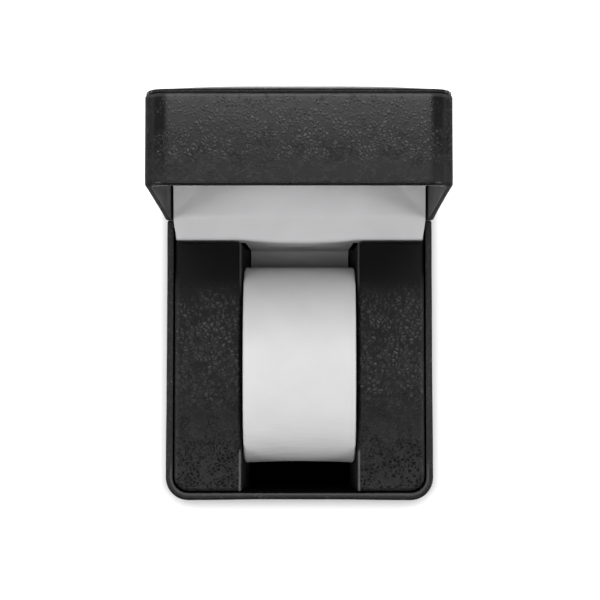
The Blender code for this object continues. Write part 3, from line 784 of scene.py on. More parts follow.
@dataclass(frozen=True)
class PressedBoard(Finish):
    """Grey pressed paper board with flecks and a fibrous face."""

    colour: Triple
    fleck: Triple

    def paint(self, graph: Graph) -> None:
        """Add the finish's nodes.

        Args:
            graph: The material's nodes.
        """
        fibres = graph.noise(0.6 * MM, 4.0, graph.stretched((0.3, 1.0, 1.0)))
        flecks = graph.range(graph.cells(1.9 * MM), 0.16, 0.06)
        tone = graph.maths("MAXIMUM", flecks, graph.range(fibres, 0.5, 0.8, 0.0, 0.5))
        graph.set(
            Base_Color=graph.colour(tone, self.colour, self.fleck),
            Roughness=graph.range(fibres, 0.2, 0.8, 0.8, 0.95),
            Normal=graph.bumps((fibres, 0.05 * MM)),
            Specular_IOR_Level=0.2,
        )


@dataclass(frozen=True)
class Foam(Finish):
    """Open-cell foam."""

    colour: Triple
    pore: Triple

    def paint(self, graph: Graph) -> None:
        """Add the finish's nodes.

        Args:
            graph: The material's nodes.
        """
        pores = graph.range(graph.cells(0.7 * MM), 0.1, 0.5)
        # The pores are painted darker as painted shade.
        graph.set(
            Base_Color=graph.colour(pores, self.pore, self.colour),
            Roughness=graph.range(pores, 0.0, 1.0, 0.98, 0.9),
            Normal=graph.bumps((pores, 0.2 * MM)),
            Specular_IOR_Level=0.1,
        )


@dataclass(frozen=True)
class Flock(Finish):
    """Short black flock."""

    colour: Triple
    tip: Triple
    sheen: float = 0.2
    specular: float = 0.1

    def paint(self, graph: Graph) -> None:
        """Add the finish's nodes.

        Args:
            graph: The material's nodes.
        """
        fibres = graph.noise(0.25 * MM, 4.0)
        brushed = graph.noise(12 * MM, 2.0)
        graph.set(
            Base_Color=graph.colour(graph.product(fibres, brushed), self.colour, self.tip),
            Roughness=graph.range(fibres, 0.2, 0.8, 0.9, 1.0),
            Normal=graph.bumps((fibres, 0.15 * MM)),
            Specular_IOR_Level=self.specular,
            Sheen_Weight=self.sheen,
            Sheen_Roughness=0.6,
        )


@dataclass(frozen=True)
class PlatedSteel(Finish):
    """Nickel-plated spring steel with drawn lines."""

    colour: Triple
    dull: Triple

    def paint(self, graph: Graph) -> None:
        """Add the finish's nodes.

        Args:
            graph: The material's nodes.
        """
        drawn = graph.noise(0.25 * MM, 3.0, graph.stretched((0.05, 1.0, 1.0)))
        spots = graph.range(graph.noise(2.2 * MM, 4.0), 0.55, 0.75)
        graph.set(
            Base_Color=graph.colour(spots, self.colour, self.dull),
            Metallic=1.0,
            Roughness=graph.range(drawn, 0.3, 0.7, 0.2, 0.36),
            Normal=graph.bumps((drawn, 0.01 * MM)),
        )


class Slot(Enum):
    """The record's material slots."""

    BLACK_LEATHERETTE = "black_leatherette"
    WHITE_LEATHERETTE = "white_leatherette"
    BLACK_PLASTIC = "black_plastic"
    OLIVE_PLASTIC = "olive_plastic"
    WHITE_PLASTIC = "white_plastic"
    BLACK_FLOCK = "black_flock"
    GREY_BOARD = "grey_board"
    WHITE_SATIN = "white_satin"
    CREAM_FOAM = "cream_foam"
    PLATED_STEEL = "plated_steel"


FINISHES = {
    Slot.BLACK_LEATHERETTE: Leatherette("black_leatherette"),
    Slot.WHITE_LEATHERETTE: SmoothLeatherette(
        "white_leatherette", (0.745, 0.745, 0.75), (0.71, 0.71, 0.715), -14 * MM, -38 * MM
    ),
    Slot.BLACK_PLASTIC: Moulded("black_plastic", (0.012, 0.012, 0.013), (0.03, 0.03, 0.031)),
    Slot.OLIVE_PLASTIC: Moulded(
        "olive_plastic", (0.020, 0.021, 0.0172), (0.034, 0.035, 0.029), 0.5, 0.2
    ),
    Slot.WHITE_PLASTIC: Moulded("white_plastic", (0.72, 0.72, 0.73), (0.66, 0.66, 0.66)),
    Slot.BLACK_FLOCK: Flock("black_flock", (0.006, 0.006, 0.007), (0.02, 0.02, 0.022)),
    Slot.GREY_BOARD: PressedBoard("grey_board", (0.27, 0.25, 0.22), (0.38, 0.36, 0.33)),
    Slot.WHITE_SATIN: Satin("white_satin", (0.755, 0.755, 0.765), (0.71, 0.71, 0.72)),
    Slot.CREAM_FOAM: Foam("cream_foam", (0.70, 0.68, 0.60), (0.45, 0.42, 0.35)),
    Slot.PLATED_STEEL: PlatedSteel("plated_steel", (0.60, 0.60, 0.59), (0.42, 0.41, 0.40)),
}


class Wardrobe:
    """Every finish as a material, and the CAD pieces dressed in them."""

    def __init__(self) -> None:
        """Build every slot's finish, and those of the blocks, the wraps and the channel."""
        self.materials = {slot: finish.build() for slot, finish in FINISHES.items()}
        beside = Stretch(-60 * MM, -58 * MM, 26 * MM, 36 * MM)
        self.block_leather = Leatherette(
            "block_leatherette",
            colour=(0.007,) * 3,
            painted_pebble_highlight=(0.031,) * 3,
            specular=0.19,
            roughness=0.26,
            dull_within=22.9 * MM,
            pebble=1.85 * MM,
            pebble_depth=0.12 * MM,
            pebble_share=0.37,
            pebbled=Stretch(-24 * MM, -8 * MM, 20 * MM, 31 * MM),
            pitted=Stretch(-60 * MM, -50 * MM, -36 * MM, -20 * MM),
            creased=Stretch(-60 * MM, -50 * MM, -20 * MM, 14 * MM, 0.9),
            # Painted highlights: a light line along the inner front edge, a fainter one along the
            # inner rear edge, and the outer side lit lighter as painted side light.
            wear_and_highlights=(
                Band(22.4 * MM, 23.2 * MM, Stretch(-60 * MM, -58 * MM, -36 * MM, -34 * MM), 1.0),
                Band(22.4 * MM, 23.1 * MM, Stretch(22 * MM, 32 * MM, 0.9, 1.0), 0.4),
                Band(46.9 * MM, 60 * MM, beside, 0.2, 0.9 * MM),
            ),
            # Painted shade: the rear of the block darkened where the open lid shades it.
            painted_shade=(Band(-1.0, 1.0, Stretch(20 * MM, 36 * MM, 0.9, 1.0), 0.75),),
        ).build()
        front = Stretch(-60 * MM, -58 * MM, -44 * MM, -38 * MM)
        self.rim_leather = Leatherette(
            "rim_leatherette",
            # Painted highlight along the front rim's inner edge.
            wear_and_highlights=(Band(1.55 * MM, 2.1 * MM, front, 0.45, 0.2 * MM, True),),
            # Painted shade on the front rim's outer rounding.
            painted_shade=(Band(0.15 * MM, 1.0 * MM, front, 0.7, 0.2 * MM, True),),
        ).build()
        self.lid_leather = Leatherette(
            "lid_leatherette",
            colour=(0.010,) * 3,
            painted_pebble_highlight=(0.036,) * 3,
            pebble=1.35 * MM,
            pebble_depth=0.06 * MM,
            specular=0.225,
            roughness=0.27,
            dull_beyond=50.2 * MM,
            # Painted highlights: a light line along the wall's edge beside the pad, and a faint
            # lighter strip just above the rim's edge.
            wear_and_highlights=(
                Band(-1.0, 1.0, Stretch(83.2 * MM, 83.8 * MM, 0.9, 1.0), 0.28),
                Band(-1.0, 1.0, Stretch(54.5 * MM, 55.2 * MM, 57 * MM, 68 * MM), 0.09),
            ),
            # Painted shade along the rim's edge.
            painted_shade=(Band(-1.0, 1.0, Stretch(-1.0, -0.9, 54.2 * MM, 55.0 * MM), 0.8),),
            pebbled=Stretch(57 * MM, 66 * MM, 0.9, 1.0),
            creased=Stretch(-1.0, -0.9, 60 * MM, 82 * MM, 0.8),
        ).build()
        # A darker copy of black flock: the channel's parts are black, and their extra darkness is
        # painted shade.
        self.channel_shade_cloth = Flock("channel_shade_cloth", (0.0008,) * 3, (0.002,) * 3, 0.0, 0.02).build()

    def dress_nodes(self) -> None:
        """Give each CAD piece the material of its slot, or of its place where that differs."""
        for part in frame["record"]["subparts"]:
            node = frame["nodes"][part["node"]]
            material = self.materials[Slot(part["material_slot"])]
            if part["node"].endswith("block_cover"):
                material = self.block_leather
            # The channel's parts get the flock darkened as painted shade.
            if part["node"] in ("channel_floor_lining", "channel_front_board", "rear_board"):
                material = self.channel_shade_cloth
            for index in range(len(node.data.materials)):
                node.data.materials[index] = material
            log.info("dressed %s", part["node"])

    def wear(self, item: Solid, slot: Slot) -> None:
        """Give a new piece a slot's material."""
        Bench.dress(item, self.materials[slot])


@dataclass(frozen=True)
class BoxSizes:
    """Sizes that several pieces share, in metres."""

    half_width: float = 51 * MM
    half_length: float = 53.5 * MM
    hinge_y: float = 53.5 * MM
    hinge_z: float = 48 * MM
    rim: float = 47.85 * MM
    channel_floor: float = 3.8 * MM
    floor_half: float = 20.4 * MM
    rim_half: float = 22.3 * MM
    top: float = 155 * MM

    def channel_half(self, height: np.ndarray) -> np.ndarray:
        """Half the channel's width at a height, because its walls lean out."""
        share = (height - self.channel_floor) / (self.rim - self.channel_floor)
        return self.floor_half + (self.rim_half - self.floor_half) * share


def eased(value: np.ndarray, start: float, end: float) -> np.ndarray:
    """A share from 0 to 1 between two values, eased at both ends."""
    share = np.clip((value - start) / (end - start), 0.0, 1.0)
    return share * share * (3 - 2 * share)


@dataclass(frozen=True)
class Folds:
    """Soft folds over a surface.

    They lie about a size apart and are a depth high. The shift moves them, so that two differ,
    and a stretch under 1 draws them out along an axis.
    """

    size: float
    shift: float
    depth: float
    stretch: Triple = (1.0, 1.0, 1.0)

    def at(self, points: np.ndarray) -> np.ndarray:
        """How far the folds push points.

        Args:
            points: Places in metres, in three columns.

        Returns:
            A distance in metres for each point, from -depth to depth.
        """
        place = points * np.array(self.stretch) / self.size * 1.9 + self.shift
        x, y, z = place[:, 0], place[:, 1], place[:, 2]
        first = np.sin(x + 1.3 * np.sin(0.7 * y + 0.4 * z + self.shift))
        first *= np.cos(y + 1.1 * np.sin(0.8 * z - 0.3 * x))
        second = np.sin(1.9 * y - 0.6 * x + 0.9 * np.sin(1.3 * x + self.shift))
        second *= np.cos(1.7 * z + 0.5 * y)
        return (0.62 * first + 0.38 * second) * self.depth


def quarter(radius: float, steps: int) -> list[tuple[float, float]]:
    """Stations round a rounded edge, from a wall over to a top.

    Args:
        radius: The edge's radius.
        steps: How many stations it has.

    Returns:
        How far in and how far below the top each lies.
    """
    turns = np.linspace(0, math.pi / 2, steps + 1)[1:]
    return [(radius * (1 - math.cos(turn)), radius * (1 - math.sin(turn))) for turn in turns]


def evenly(path: np.ndarray, count: int) -> np.ndarray:
    """A path in a plane at even steps.

    Args:
        path: Its points, in two columns.
        count: How many steps are wanted.

    Returns:
        The points and how far along each is, in three columns.
    """
    steps = np.r_[0.0, np.cumsum(np.linalg.norm(np.diff(path, axis=0), axis=1))]
    even = np.linspace(0.0, steps[-1], count + 1)
    return np.c_[np.interp(even, steps, path[:, 0]), np.interp(even, steps, path[:, 1]), even]


def crown_share(
    points: np.ndarray, half_width: float, low: float, high: float, power: float
) -> np.ndarray:
    """How far a pad is crowned at points: 1 in its middle and 0 along its edges.

    Args:
        points: Places in metres, in three columns.
        half_width: Half the pad's width along X.
        low: Its lowest height.
        high: Its greatest height.
        power: How flat its middle is.

    Returns:
        One share for each point.
    """
    across = np.clip(np.abs(points[:, 0]) / half_width, 0, 1) ** power
    along = np.clip(np.abs(points[:, 2] - (low + high) / 2) / ((high - low) / 2), 0, 1) ** power
    return (1 - across) * (1 - along)


def rounded_path(points: list[tuple], radii: tuple, steps: int = 10) -> np.ndarray:
    """A path in Y and Z with its inner corners rounded.

    Args:
        points: Its corner points.
        radii: The radius at each inner corner.
        steps: How many steps a corner takes.

    Returns:
        An array of two columns.
    """
    path = [Vector(points[0])]
    for index, radius in enumerate(radii, start=1):
        corner = Vector(points[index])
        back = (Vector(points[index - 1]) - corner).normalized()
        ahead = (Vector(points[index + 1]) - corner).normalized()
        half_angle = back.angle(ahead) / 2
        centre = corner + (back + ahead).normalized() * radius / math.sin(half_angle)
        reach = radius / math.tan(half_angle)
        start, end = corner + back * reach - centre, corner + ahead * reach - centre
        for step in range(steps + 1):
            path.append(centre + start.lerp(end, step / steps).normalized() * radius)
    path.append(Vector(points[-1]))
    return np.array(path)


class Upholstery:
    """Padded forms that swell like stuffed cloth, held along their backs."""

    FRAMES = 20
    CLOTH = {
        "quality": 6,
        "mass": 0.15,
        "tension_stiffness": 12.0,
        "compression_stiffness": 12.0,
        "shear_stiffness": 6.0,
        "bending_stiffness": 0.3,
        "use_pressure": True,
        "uniform_pressure_force": 4.0,
        "vertex_group_mass": "glued",
    }

    @classmethod
    def swell(
        cls,
        item: Solid,
        voxel: float,
        held: Callable[[np.ndarray], np.ndarray],
        cap: Callable[[np.ndarray], np.ndarray],
    ) -> None:
        """Remesh a form and let pressure swell it, as far as a cap allows.

        Args:
            item: A closed form, a little smaller than the pad.
            voxel: The remesh's voxel size in metres.
            held: Says which points are glued down.
            cap: Gives the farthest move of each point in metres.
        """
        Bench.apply(item, "REMESH", mode="VOXEL", voxel_size=voxel, use_smooth_shade=True)
        before = Bench.points(item)
        glued = held(before)
        limit = cap(before)
        after = cls.simulate(item, glued)
        move = after - before
        length = np.linalg.norm(move, axis=1)
        share = np.minimum(1.0, limit / np.maximum(length, 1e-9))
        share[glued] = 0.0
        Bench.place(item, before + move * share[:, None])
        Bench.apply(item, "SUBSURF", levels=1, render_levels=1)
        Bench.smooth(item, 60.0)

    @classmethod
    def simulate(cls, item: Solid, glued: np.ndarray) -> np.ndarray:
        """Where cloth under pressure takes the points.

        Args:
            item: The remeshed form.
            glued: Which of its points stay.

        Returns:
            The points' places after the simulation.
        """
        group = item.vertex_groups.new(name="glued")
        group.add([int(index) for index in np.flatnonzero(glued)], 1.0, "REPLACE")
        modifier = item.modifiers.new("swell", "CLOTH")
        for key, value in cls.CLOTH.items():
            setattr(modifier.settings, key, value)
        modifier.settings.effector_weights.gravity = 0.0
        scene = bpy.context.scene
        for number in range(1, cls.FRAMES + 1):
            scene.frame_set(number)
        Bench.focus(item)
        bpy.ops.object.modifier_apply(modifier=modifier.name)
        scene.frame_set(1)
        item.vertex_groups.clear()
        return Bench.points(item)


@dataclass
class SatinFlap:
    """One satin sheet: its tail on the channel floor, its upright, and its fold into the lid."""

    box: BoxSizes
    wardrobe: Wardrobe
    half_width: float = 48.4 * MM
    fold_half_width: float = 47.55 * MM
    side_gap: float = 0.7 * MM
    wide_from: float = 35.85 * MM
    thickness: float = 0.3 * MM
    bulge: float = 1.0 * MM
    corner_slope: float = 0.30
    columns: int = 144
    rows: int = 132
    middle_columns: int = 64
    upright_to: float = 48 * MM
    lifted_from: tuple = (47.4 * MM, 56.2 * MM)
    lifted_way: tuple = (0.745, 0.667)
    lifted_soft: float = 0.6 * MM
    cushion_flat: float = 43.3 * MM
    cushion_corner: float = 5 * MM
    cushion_face: float = 66.6 * MM
    under_cushion: float = 1.2 * MM
    before_cushion: float = 4 * MM
    fold_middle: float = 50.5 * MM
    fold_reach: float = 7 * MM
    fold_pleats: Folds = Folds(7 * MM, 0.7, 0.22 * MM, (0.3, 1.0, 1.0))
    lid_pleats: Folds = Folds(15 * MM, 2.1, 0.25 * MM, (0.55, 1.0, 1.0))
    upright_pleats: Folds = Folds(13 * MM, 4.0, 0.35 * MM, (1.0, 0.35, 1.0))
    route: tuple = ((24.3, 4.3), (46.3, 4.3), (46.3, 47.25), (54.6, 51.29), (70.5, 51.29))
    bends: tuple = (1.2 * MM, 1.2 * MM, 4 * MM)

    def path(self) -> np.ndarray:
        """The sheet's middle line in Y and Z at even steps, and how far along each station is."""
        path = rounded_path([(y * MM, z * MM) for y, z in self.route], self.bends)
        return evenly(path, self.rows)

    def build(self) -> Solid:
        """Cut the sheet, hang it along its path and give it its folds.

        Returns:
            The piece.
        """
        item = Bench.grid("satin_flap_cloth", self.columns, self.rows)
        stations = self.path()
        length = stations[-1, 2]
        grid = Bench.points(item)
        across = grid[:, 0] * 2
        row = np.rint((grid[:, 1] + 0.5) * self.rows).astype(int)
        y, z = stations[row, 0], stations[row, 1]
        middle = self.middle_columns / self.columns
        channel = self.box.channel_half(np.minimum(z, self.box.rim)) - self.side_gap
        taper = eased(y, self.box.hinge_y - 7.5 * MM, self.box.hinge_y + 0.5 * MM)
        edge = self.fold_half_width + (self.half_width - self.fold_half_width) * taper
        beyond = (np.abs(across) - middle) / (1 - middle) * (edge - channel)
        inside = np.abs(across) <= middle + 1e-6
        x = np.sign(across) * np.where(inside, np.abs(across) / middle * channel, channel + beyond)
        self.write_flat_map(item, grid, length)
        narrow = (stations[:, 1] < self.wide_from) & (stations[:, 2] < 0.8 * length)
        narrow_rows = np.flatnonzero(narrow)
        last_narrow = (narrow_rows.max() + 1) / self.rows - 0.5

        def beside_tail(face: bmesh.types.BMFace) -> bool:
            """Whether a face lies beside the part that is as narrow as the channel."""
            centre = face.calc_center_median()
            return centre.y < last_narrow and abs(centre.x) * 2 > middle

        with Bench.editing(item):
            Bench.pick(item, "faces", beside_tail)
            bpy.ops.mesh.delete(type="FACE")
        kept = Bench.points(item)
        order = {(round(a, 5), round(b, 5)): i for i, (a, b) in enumerate(grid[:, :2])}
        index = np.array([order[(round(a, 5), round(b, 5))] for a, b in kept[:, :2]])
        along = stations[row[index], 2]
        Bench.place(item, self.folded(x[index], y[index], z[index], along, channel[index]))
        Bench.apply(item, "SOLIDIFY", thickness=self.thickness, offset=0.0)
        Bench.smooth(item, 60.0)
        self.wardrobe.wear(item, Slot.WHITE_SATIN)
        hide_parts("satin_flap")
        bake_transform(item)
        return item

    def write_flat_map(self, item: Solid, grid: np.ndarray, length: float) -> None:
        """Lay the UV map out as the sheet was cut, in metres.

        Args:
            item: The flat grid.
            grid: Its points.
            length: The sheet's length in metres.
        """
        layers = item.data.uv_layers
        layer = layers[0] if layers else layers.new(name="flat")
        corners = np.empty(len(item.data.loops), dtype=int)
        item.data.loops.foreach_get("vertex_index", corners)
        flat = np.c_[grid[corners, 0] * 2 * self.half_width, (grid[corners, 1] + 0.5) * length]
        layer.data.foreach_set("uv", flat.ravel())

    def folded(
        self, x: np.ndarray, y: np.ndarray, z: np.ndarray, along: np.ndarray, channel: np.ndarray
    ) -> np.ndarray:
        """The hung sheet's points with its bulge, its lifted corners and its soft folds.

        Args:
            x: Places across the sheet.
            y: Places along Y on the middle line.
            z: Heights on the middle line.
            along: Distance from the tail's end.
            channel: Half the channel's width there.

        Returns:
            An array of three columns.
        """
        box = self.box
        share = np.minimum(np.abs(x) / channel, 1.0)
        upright = y < self.upright_to
        height = eased((z - box.channel_floor) / (box.rim - box.channel_floor), 0.0, 1.0)
        y = y - np.where(upright, self.bulge * (1 - share**2) * height, 0.0)
        deep = eased(y, box.hinge_y + 1.1 * MM, box.hinge_y + 17 * MM)
        beyond = (np.abs(x) - self.lifted_from[0]) * self.lifted_way[0]
        beyond = beyond + (y - self.lifted_from[1]) * self.lifted_way[1]
        softened = 0.5 * (beyond + np.sqrt(beyond**2 + self.lifted_soft**2))
        corner = self.cushion_corner
        past = np.clip(np.abs(x) - self.cushion_flat, 0, corner)
        under = self.under_cushion + corner - np.sqrt(np.clip(corner**2 - past**2, 0, None))
        room = np.where(y > self.cushion_face, under, self.before_cushion)
        z = z + np.where(y > box.hinge_y, np.minimum(self.corner_slope * softened, room), 0.0)
        flat = np.c_[x, along, np.zeros_like(x)]
        bend = np.exp(-(((y - self.fold_middle) / self.fold_reach) ** 2))
        bend = bend * (z > box.rim - 2 * MM)
        z = z + bend * self.fold_pleats.at(flat)
        z = z + deep * np.maximum(self.lid_pleats.at(flat), -0.1 * MM)
        free = upright & (share < 1.0) & (z > 8 * MM)
        sway = np.abs(self.upright_pleats.at(flat)) + 0.05 * MM
        y = y - np.where(free, (1 - share**2) * sway, 0.0)
        return np.c_[x, y, z]


@dataclass
class LidCushion:
    """Satin cushion inside the lid, crowned towards the lid's mouth."""

    box: BoxSizes
    wardrobe: Wardrobe
    half_width: float = 48.3 * MM
    bottom: float = 52.79 * MM
    top: float = 152.3 * MM
    back: float = 80.7 * MM
    face: float = 69.5 * MM
    crown: float = 2.5 * MM
    slack: float = 0.7 * MM
    power: float = 4.0
    corner: float = 5 * MM
    front_round: float = 3.2 * MM
    glued: float = 1.2 * MM
    voxel: float = 1.9 * MM
    pulls: float = 46.0
    pull_depth: float = 0.10 * MM
    corner_depth: float = 0.30 * MM
    calm: Folds = Folds(26 * MM, 1.3, 0.18 * MM)

    def crowned(self, points: np.ndarray) -> np.ndarray:
        """The crown's share at points."""
        return crown_share(points, self.half_width, self.bottom, self.top, self.power)

    def build(self) -> Solid:
        """Model the cushion a little small, swell it, and draw its creases.

        Returns:
            The piece.
        """
        Bench.deselect()
        size = (
            2 * (self.half_width - self.slack),
            self.back - self.face - self.slack,
            self.top - self.bottom - 2 * self.slack,
        )
        centre = (0, self.back - size[1] / 2, (self.bottom + self.top) / 2)
        bpy.ops.mesh.primitive_cube_add(size=1.0, location=centre, scale=size)
        item = Bench.named("lid_satin_cushion")
        front = centre[1] - size[1] / 2 + MM

        def runs_back(edge: bmesh.types.BMEdge) -> bool:
            """Whether an edge runs from the cushion's face to its back."""
            return abs(edge.verts[0].co.y - edge.verts[1].co.y) > MM

        def on_face(edge: bmesh.types.BMEdge) -> bool:
            """Whether an edge lies in the cushion's face."""
            return all(vertex.co.y < front for vertex in edge.verts)

        with Bench.editing(item, "EDGE"):
            Bench.pick(item, "edges", runs_back)
            bpy.ops.mesh.bevel(offset=self.corner, segments=5)
            bpy.ops.mesh.select_all(action="DESELECT")
            Bench.pick(item, "edges", on_face)
            bpy.ops.mesh.bevel(offset=self.front_round, segments=4)
        Bench.outward(item)
        held_from = self.back - self.glued
        middle = (self.face + self.back) / 2

        def cap(points: np.ndarray) -> np.ndarray:
            """How far each point may move: most in the middle of the face."""
            front_share = eased(-points[:, 1], -middle, -(self.face + 1.5 * MM))
            return self.slack + front_share * self.crown * self.crowned(points)

        Upholstery.swell(item, self.voxel, lambda points: points[:, 1] > held_from, cap)
        self.crease(item)
        self.wardrobe.wear(item, Slot.WHITE_SATIN)
        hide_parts("lid_cushion")
        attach(item, "lid")
        return item

    def crease(self, item: Solid) -> None:
        """Draw the satin's creases: short pulls that run in from the edges, deepest at the corners.

        Args:
            item: The swollen cushion.
        """
        points = Bench.points(item)
        middle = (self.bottom + self.top) / 2
        half_height = (self.top - self.bottom) / 2
        u, w = points[:, 0] / self.half_width, (points[:, 2] - middle) / half_height
        edge = np.maximum(np.abs(u), np.abs(w))
        corner = np.clip(np.abs(u * w), 0, 1)
        turn = np.arctan2(w, u)
        pulls = np.sin(turn * self.pulls + 2.2 * np.sin(turn * 5))
        pulls *= 0.4 + 0.6 * np.sin(turn * 9 + 1.0) ** 2
        side = eased(-points[:, 1], -(self.back - 3 * MM), -(self.face + 2 * MM))
        depth = side * eased(edge, 0.80, 0.97) * (self.pull_depth + self.corner_depth * corner**2)
        points[:, 1] += depth * (pulls + 0.6)
        calm = self.calm.at(points) * self.crowned(points)
        points[:, 1] += np.where(points[:, 1] < self.face + 2 * MM, np.abs(calm), 0.0)
        Bench.place(item, points)


@dataclass
class LeatherWrap:
    """Leatherette drawn round a tray's walls, turned in over its edges and notched for the hinges.

    It is shaped as the base lies: X across, Y from the front wall to the hinge wall, Z up.
    """

    box: BoxSizes
    wardrobe: Wardrobe
    name: str
    replaced: str
    body: str
    front_radius: float = 8.4 * MM
    rear_radius: float = 0.7 * MM
    least_radius: float = 0.3 * MM
    skin: float = 0.15 * MM
    notch_half: float = 8.72 * MM
    notch_side: float = 30 * MM
    notch_reach: float = 1.4 * MM
    front_steps: int = 12
    rear_steps: int = 4
    rear_columns: tuple[int, ...] = (5, 7, 16, 7, 5)
    side_columns: int = 42
    front_columns: int = 36

    def profile(self) -> np.ndarray:
        """Stations from the open edge up: how far in, and how high."""
        raise NotImplementedError

    def swollen(self, points: np.ndarray, out: np.ndarray, inset: np.ndarray) -> np.ndarray:
        """The stations' points with the leatherette standing proud of the walls."""
        raise NotImplementedError

    def stand(self, points: np.ndarray) -> np.ndarray:
        """The points where the piece stands in the box."""
        return points

    def corner_radii(self) -> list[tuple[int, int, float, int]]:
        """Each corner's side, end, radius and steps, counter-clockwise from the rear right."""
        front, rear = (self.front_radius, self.front_steps), (self.rear_radius, self.rear_steps)
        return [(1, 1, *rear), (-1, 1, *rear), (-1, -1, *front), (1, -1, *front)]

    def wall_stations(self) -> list[np.ndarray]:
        """Places along each wall, after each corner, as the coordinate that changes.

        Returns:
            The rear wall's places, then the left's, the front's and the right's.
        """
        side, half = self.notch_side, self.notch_half
        stops = [side + half, side - half, -side + half, -side - half]
        reach = self.box.half_width - self.rear_radius
        runs = zip([reach, *stops], [*stops, -reach], self.rear_columns)
        rear = np.concatenate([np.linspace(*run, endpoint=False) for run in runs])[1:]
        low = -self.box.half_length + self.front_radius
        high = self.box.half_length - self.rear_radius
        length = np.linspace(high, low, self.side_columns)[1:-1]
        flat = self.box.half_width - self.front_radius
        width = np.linspace(-flat, flat, self.front_columns)[1:-1]
        return [rear, length, width, length[::-1]]

    def outline(self, inset: float) -> np.ndarray:
        """The plan drawn in by an inset: X, Y and the way out at each point.

        Args:
            inset: How far in, in metres.

        Returns:
            An array of four columns.
        """
        rows = []
        half_width, half_length = self.box.half_width - inset, self.box.half_length - inset
        lefts = [max(radius - inset, self.least_radius) for _, _, radius, _ in self.corner_radii()]
        walls = self.wall_stations()
        for index, (across, along, _, steps) in enumerate(self.corner_radii()):
            left = lefts[index]
            centre = (across * (half_width - left), along * (half_length - left))
            for turn in np.linspace(index, index + 1, steps + 1) * math.pi / 2:
                way = (math.cos(turn), math.sin(turn))
                rows.append((centre[0] + left * way[0], centre[1] + left * way[1], *way))
            after = lefts[(index + 1) % 4]
            if index % 2 == 0:
                limit = half_width - left
                for place in np.clip(walls[index], -limit, limit):
                    rows.append((place, along * half_length, 0.0, along))
            else:
                ends = (-half_length + max(left, after), half_length - min(left, after))
                for place in np.clip(walls[index], *ends):
                    rows.append((across * half_width, place, across, 0.0))
        return np.array(rows)

    def build(self) -> Solid:
        """Draw the sheet round the walls from a grid, cut its notches, thicken it and dress it.

        Returns:
            The piece.
        """
        profile = self.profile()
        outlines = np.array([self.outline(inset) for inset in profile[:, 0]])
        columns, rows = outlines.shape[1], len(profile) - 1
        item = Bench.grid(self.name, columns, rows)
        grid = Bench.points(item)
        column = np.rint((grid[:, 0] + 0.5) * columns).astype(int) % columns
        row = np.rint((grid[:, 1] + 0.5) * rows).astype(int)
        chosen = outlines[row, column]
        points = np.c_[chosen[:, :2], profile[row, 1]]
        flat = points.copy()
        Bench.place(item, points)
        inset = item.data.attributes.new("inset", "FLOAT", "POINT")
        inset.data.foreach_set("value", profile[row, 0])
        with Bench.editing(item):
            Bench.pick(item, "faces", lambda face: self.in_notch(face.calc_center_median()))
            bpy.ops.mesh.delete(type="ONLY_FACE")
        Bench.place(item, self.stand(self.swollen(flat, chosen[:, 2:], profile[row, 0])))
        with Bench.editing(item, "VERT"):
            bpy.ops.mesh.select_all(action="SELECT")
            bpy.ops.mesh.remove_doubles(threshold=0.01 * MM)
            bpy.ops.mesh.select_all(action="SELECT")
            bpy.ops.mesh.normals_make_consistent(inside=False)
            bpy.ops.mesh.select_all(action="DESELECT")
            bpy.ops.mesh.select_loose()
            bpy.ops.mesh.delete(type="VERT")
        self.turn_out(item)
        Bench.apply(item, "SOLIDIFY", thickness=self.skin, offset=-1.0)
        Bench.smooth(item, 40.0)
        self.wardrobe.wear(item, Slot.BLACK_LEATHERETTE)
        on_lid = self.body == "lid"
        Bench.dress(item, self.wardrobe.lid_leather if on_lid else self.wardrobe.rim_leather)
        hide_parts(self.replaced)
        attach(item, self.body)
        return item

    def turn_out(self, item: Solid) -> None:
        """Flip the sheet where its widest wall's normal points in, so that the skin grows inwards.

        Args:
            item: The sheet, before its thickness.
        """
        widest = max(item.data.polygons, key=lambda face: abs(face.center.x) + face.area)
        if widest.normal.x * widest.center.x < 0:
            with Bench.editing(item):
                bpy.ops.mesh.select_all(action="SELECT")
                bpy.ops.mesh.flip_normals()

    def near_hinge(self, height: float) -> bool:
        """Whether a height is that of the hinge's knuckles."""
        raise NotImplementedError

    def in_notch(self, centre: Vector) -> bool:
        """Whether a face lies where the hinge's knuckles stand.

        Args:
            centre: The face's centre.

        Returns:
            Whether it does.
        """
        beside = abs(abs(centre.x) - self.notch_side) < self.notch_half
        behind = centre.y > self.box.half_length - self.notch_reach
        return beside and behind and self.near_hinge(centre.z)


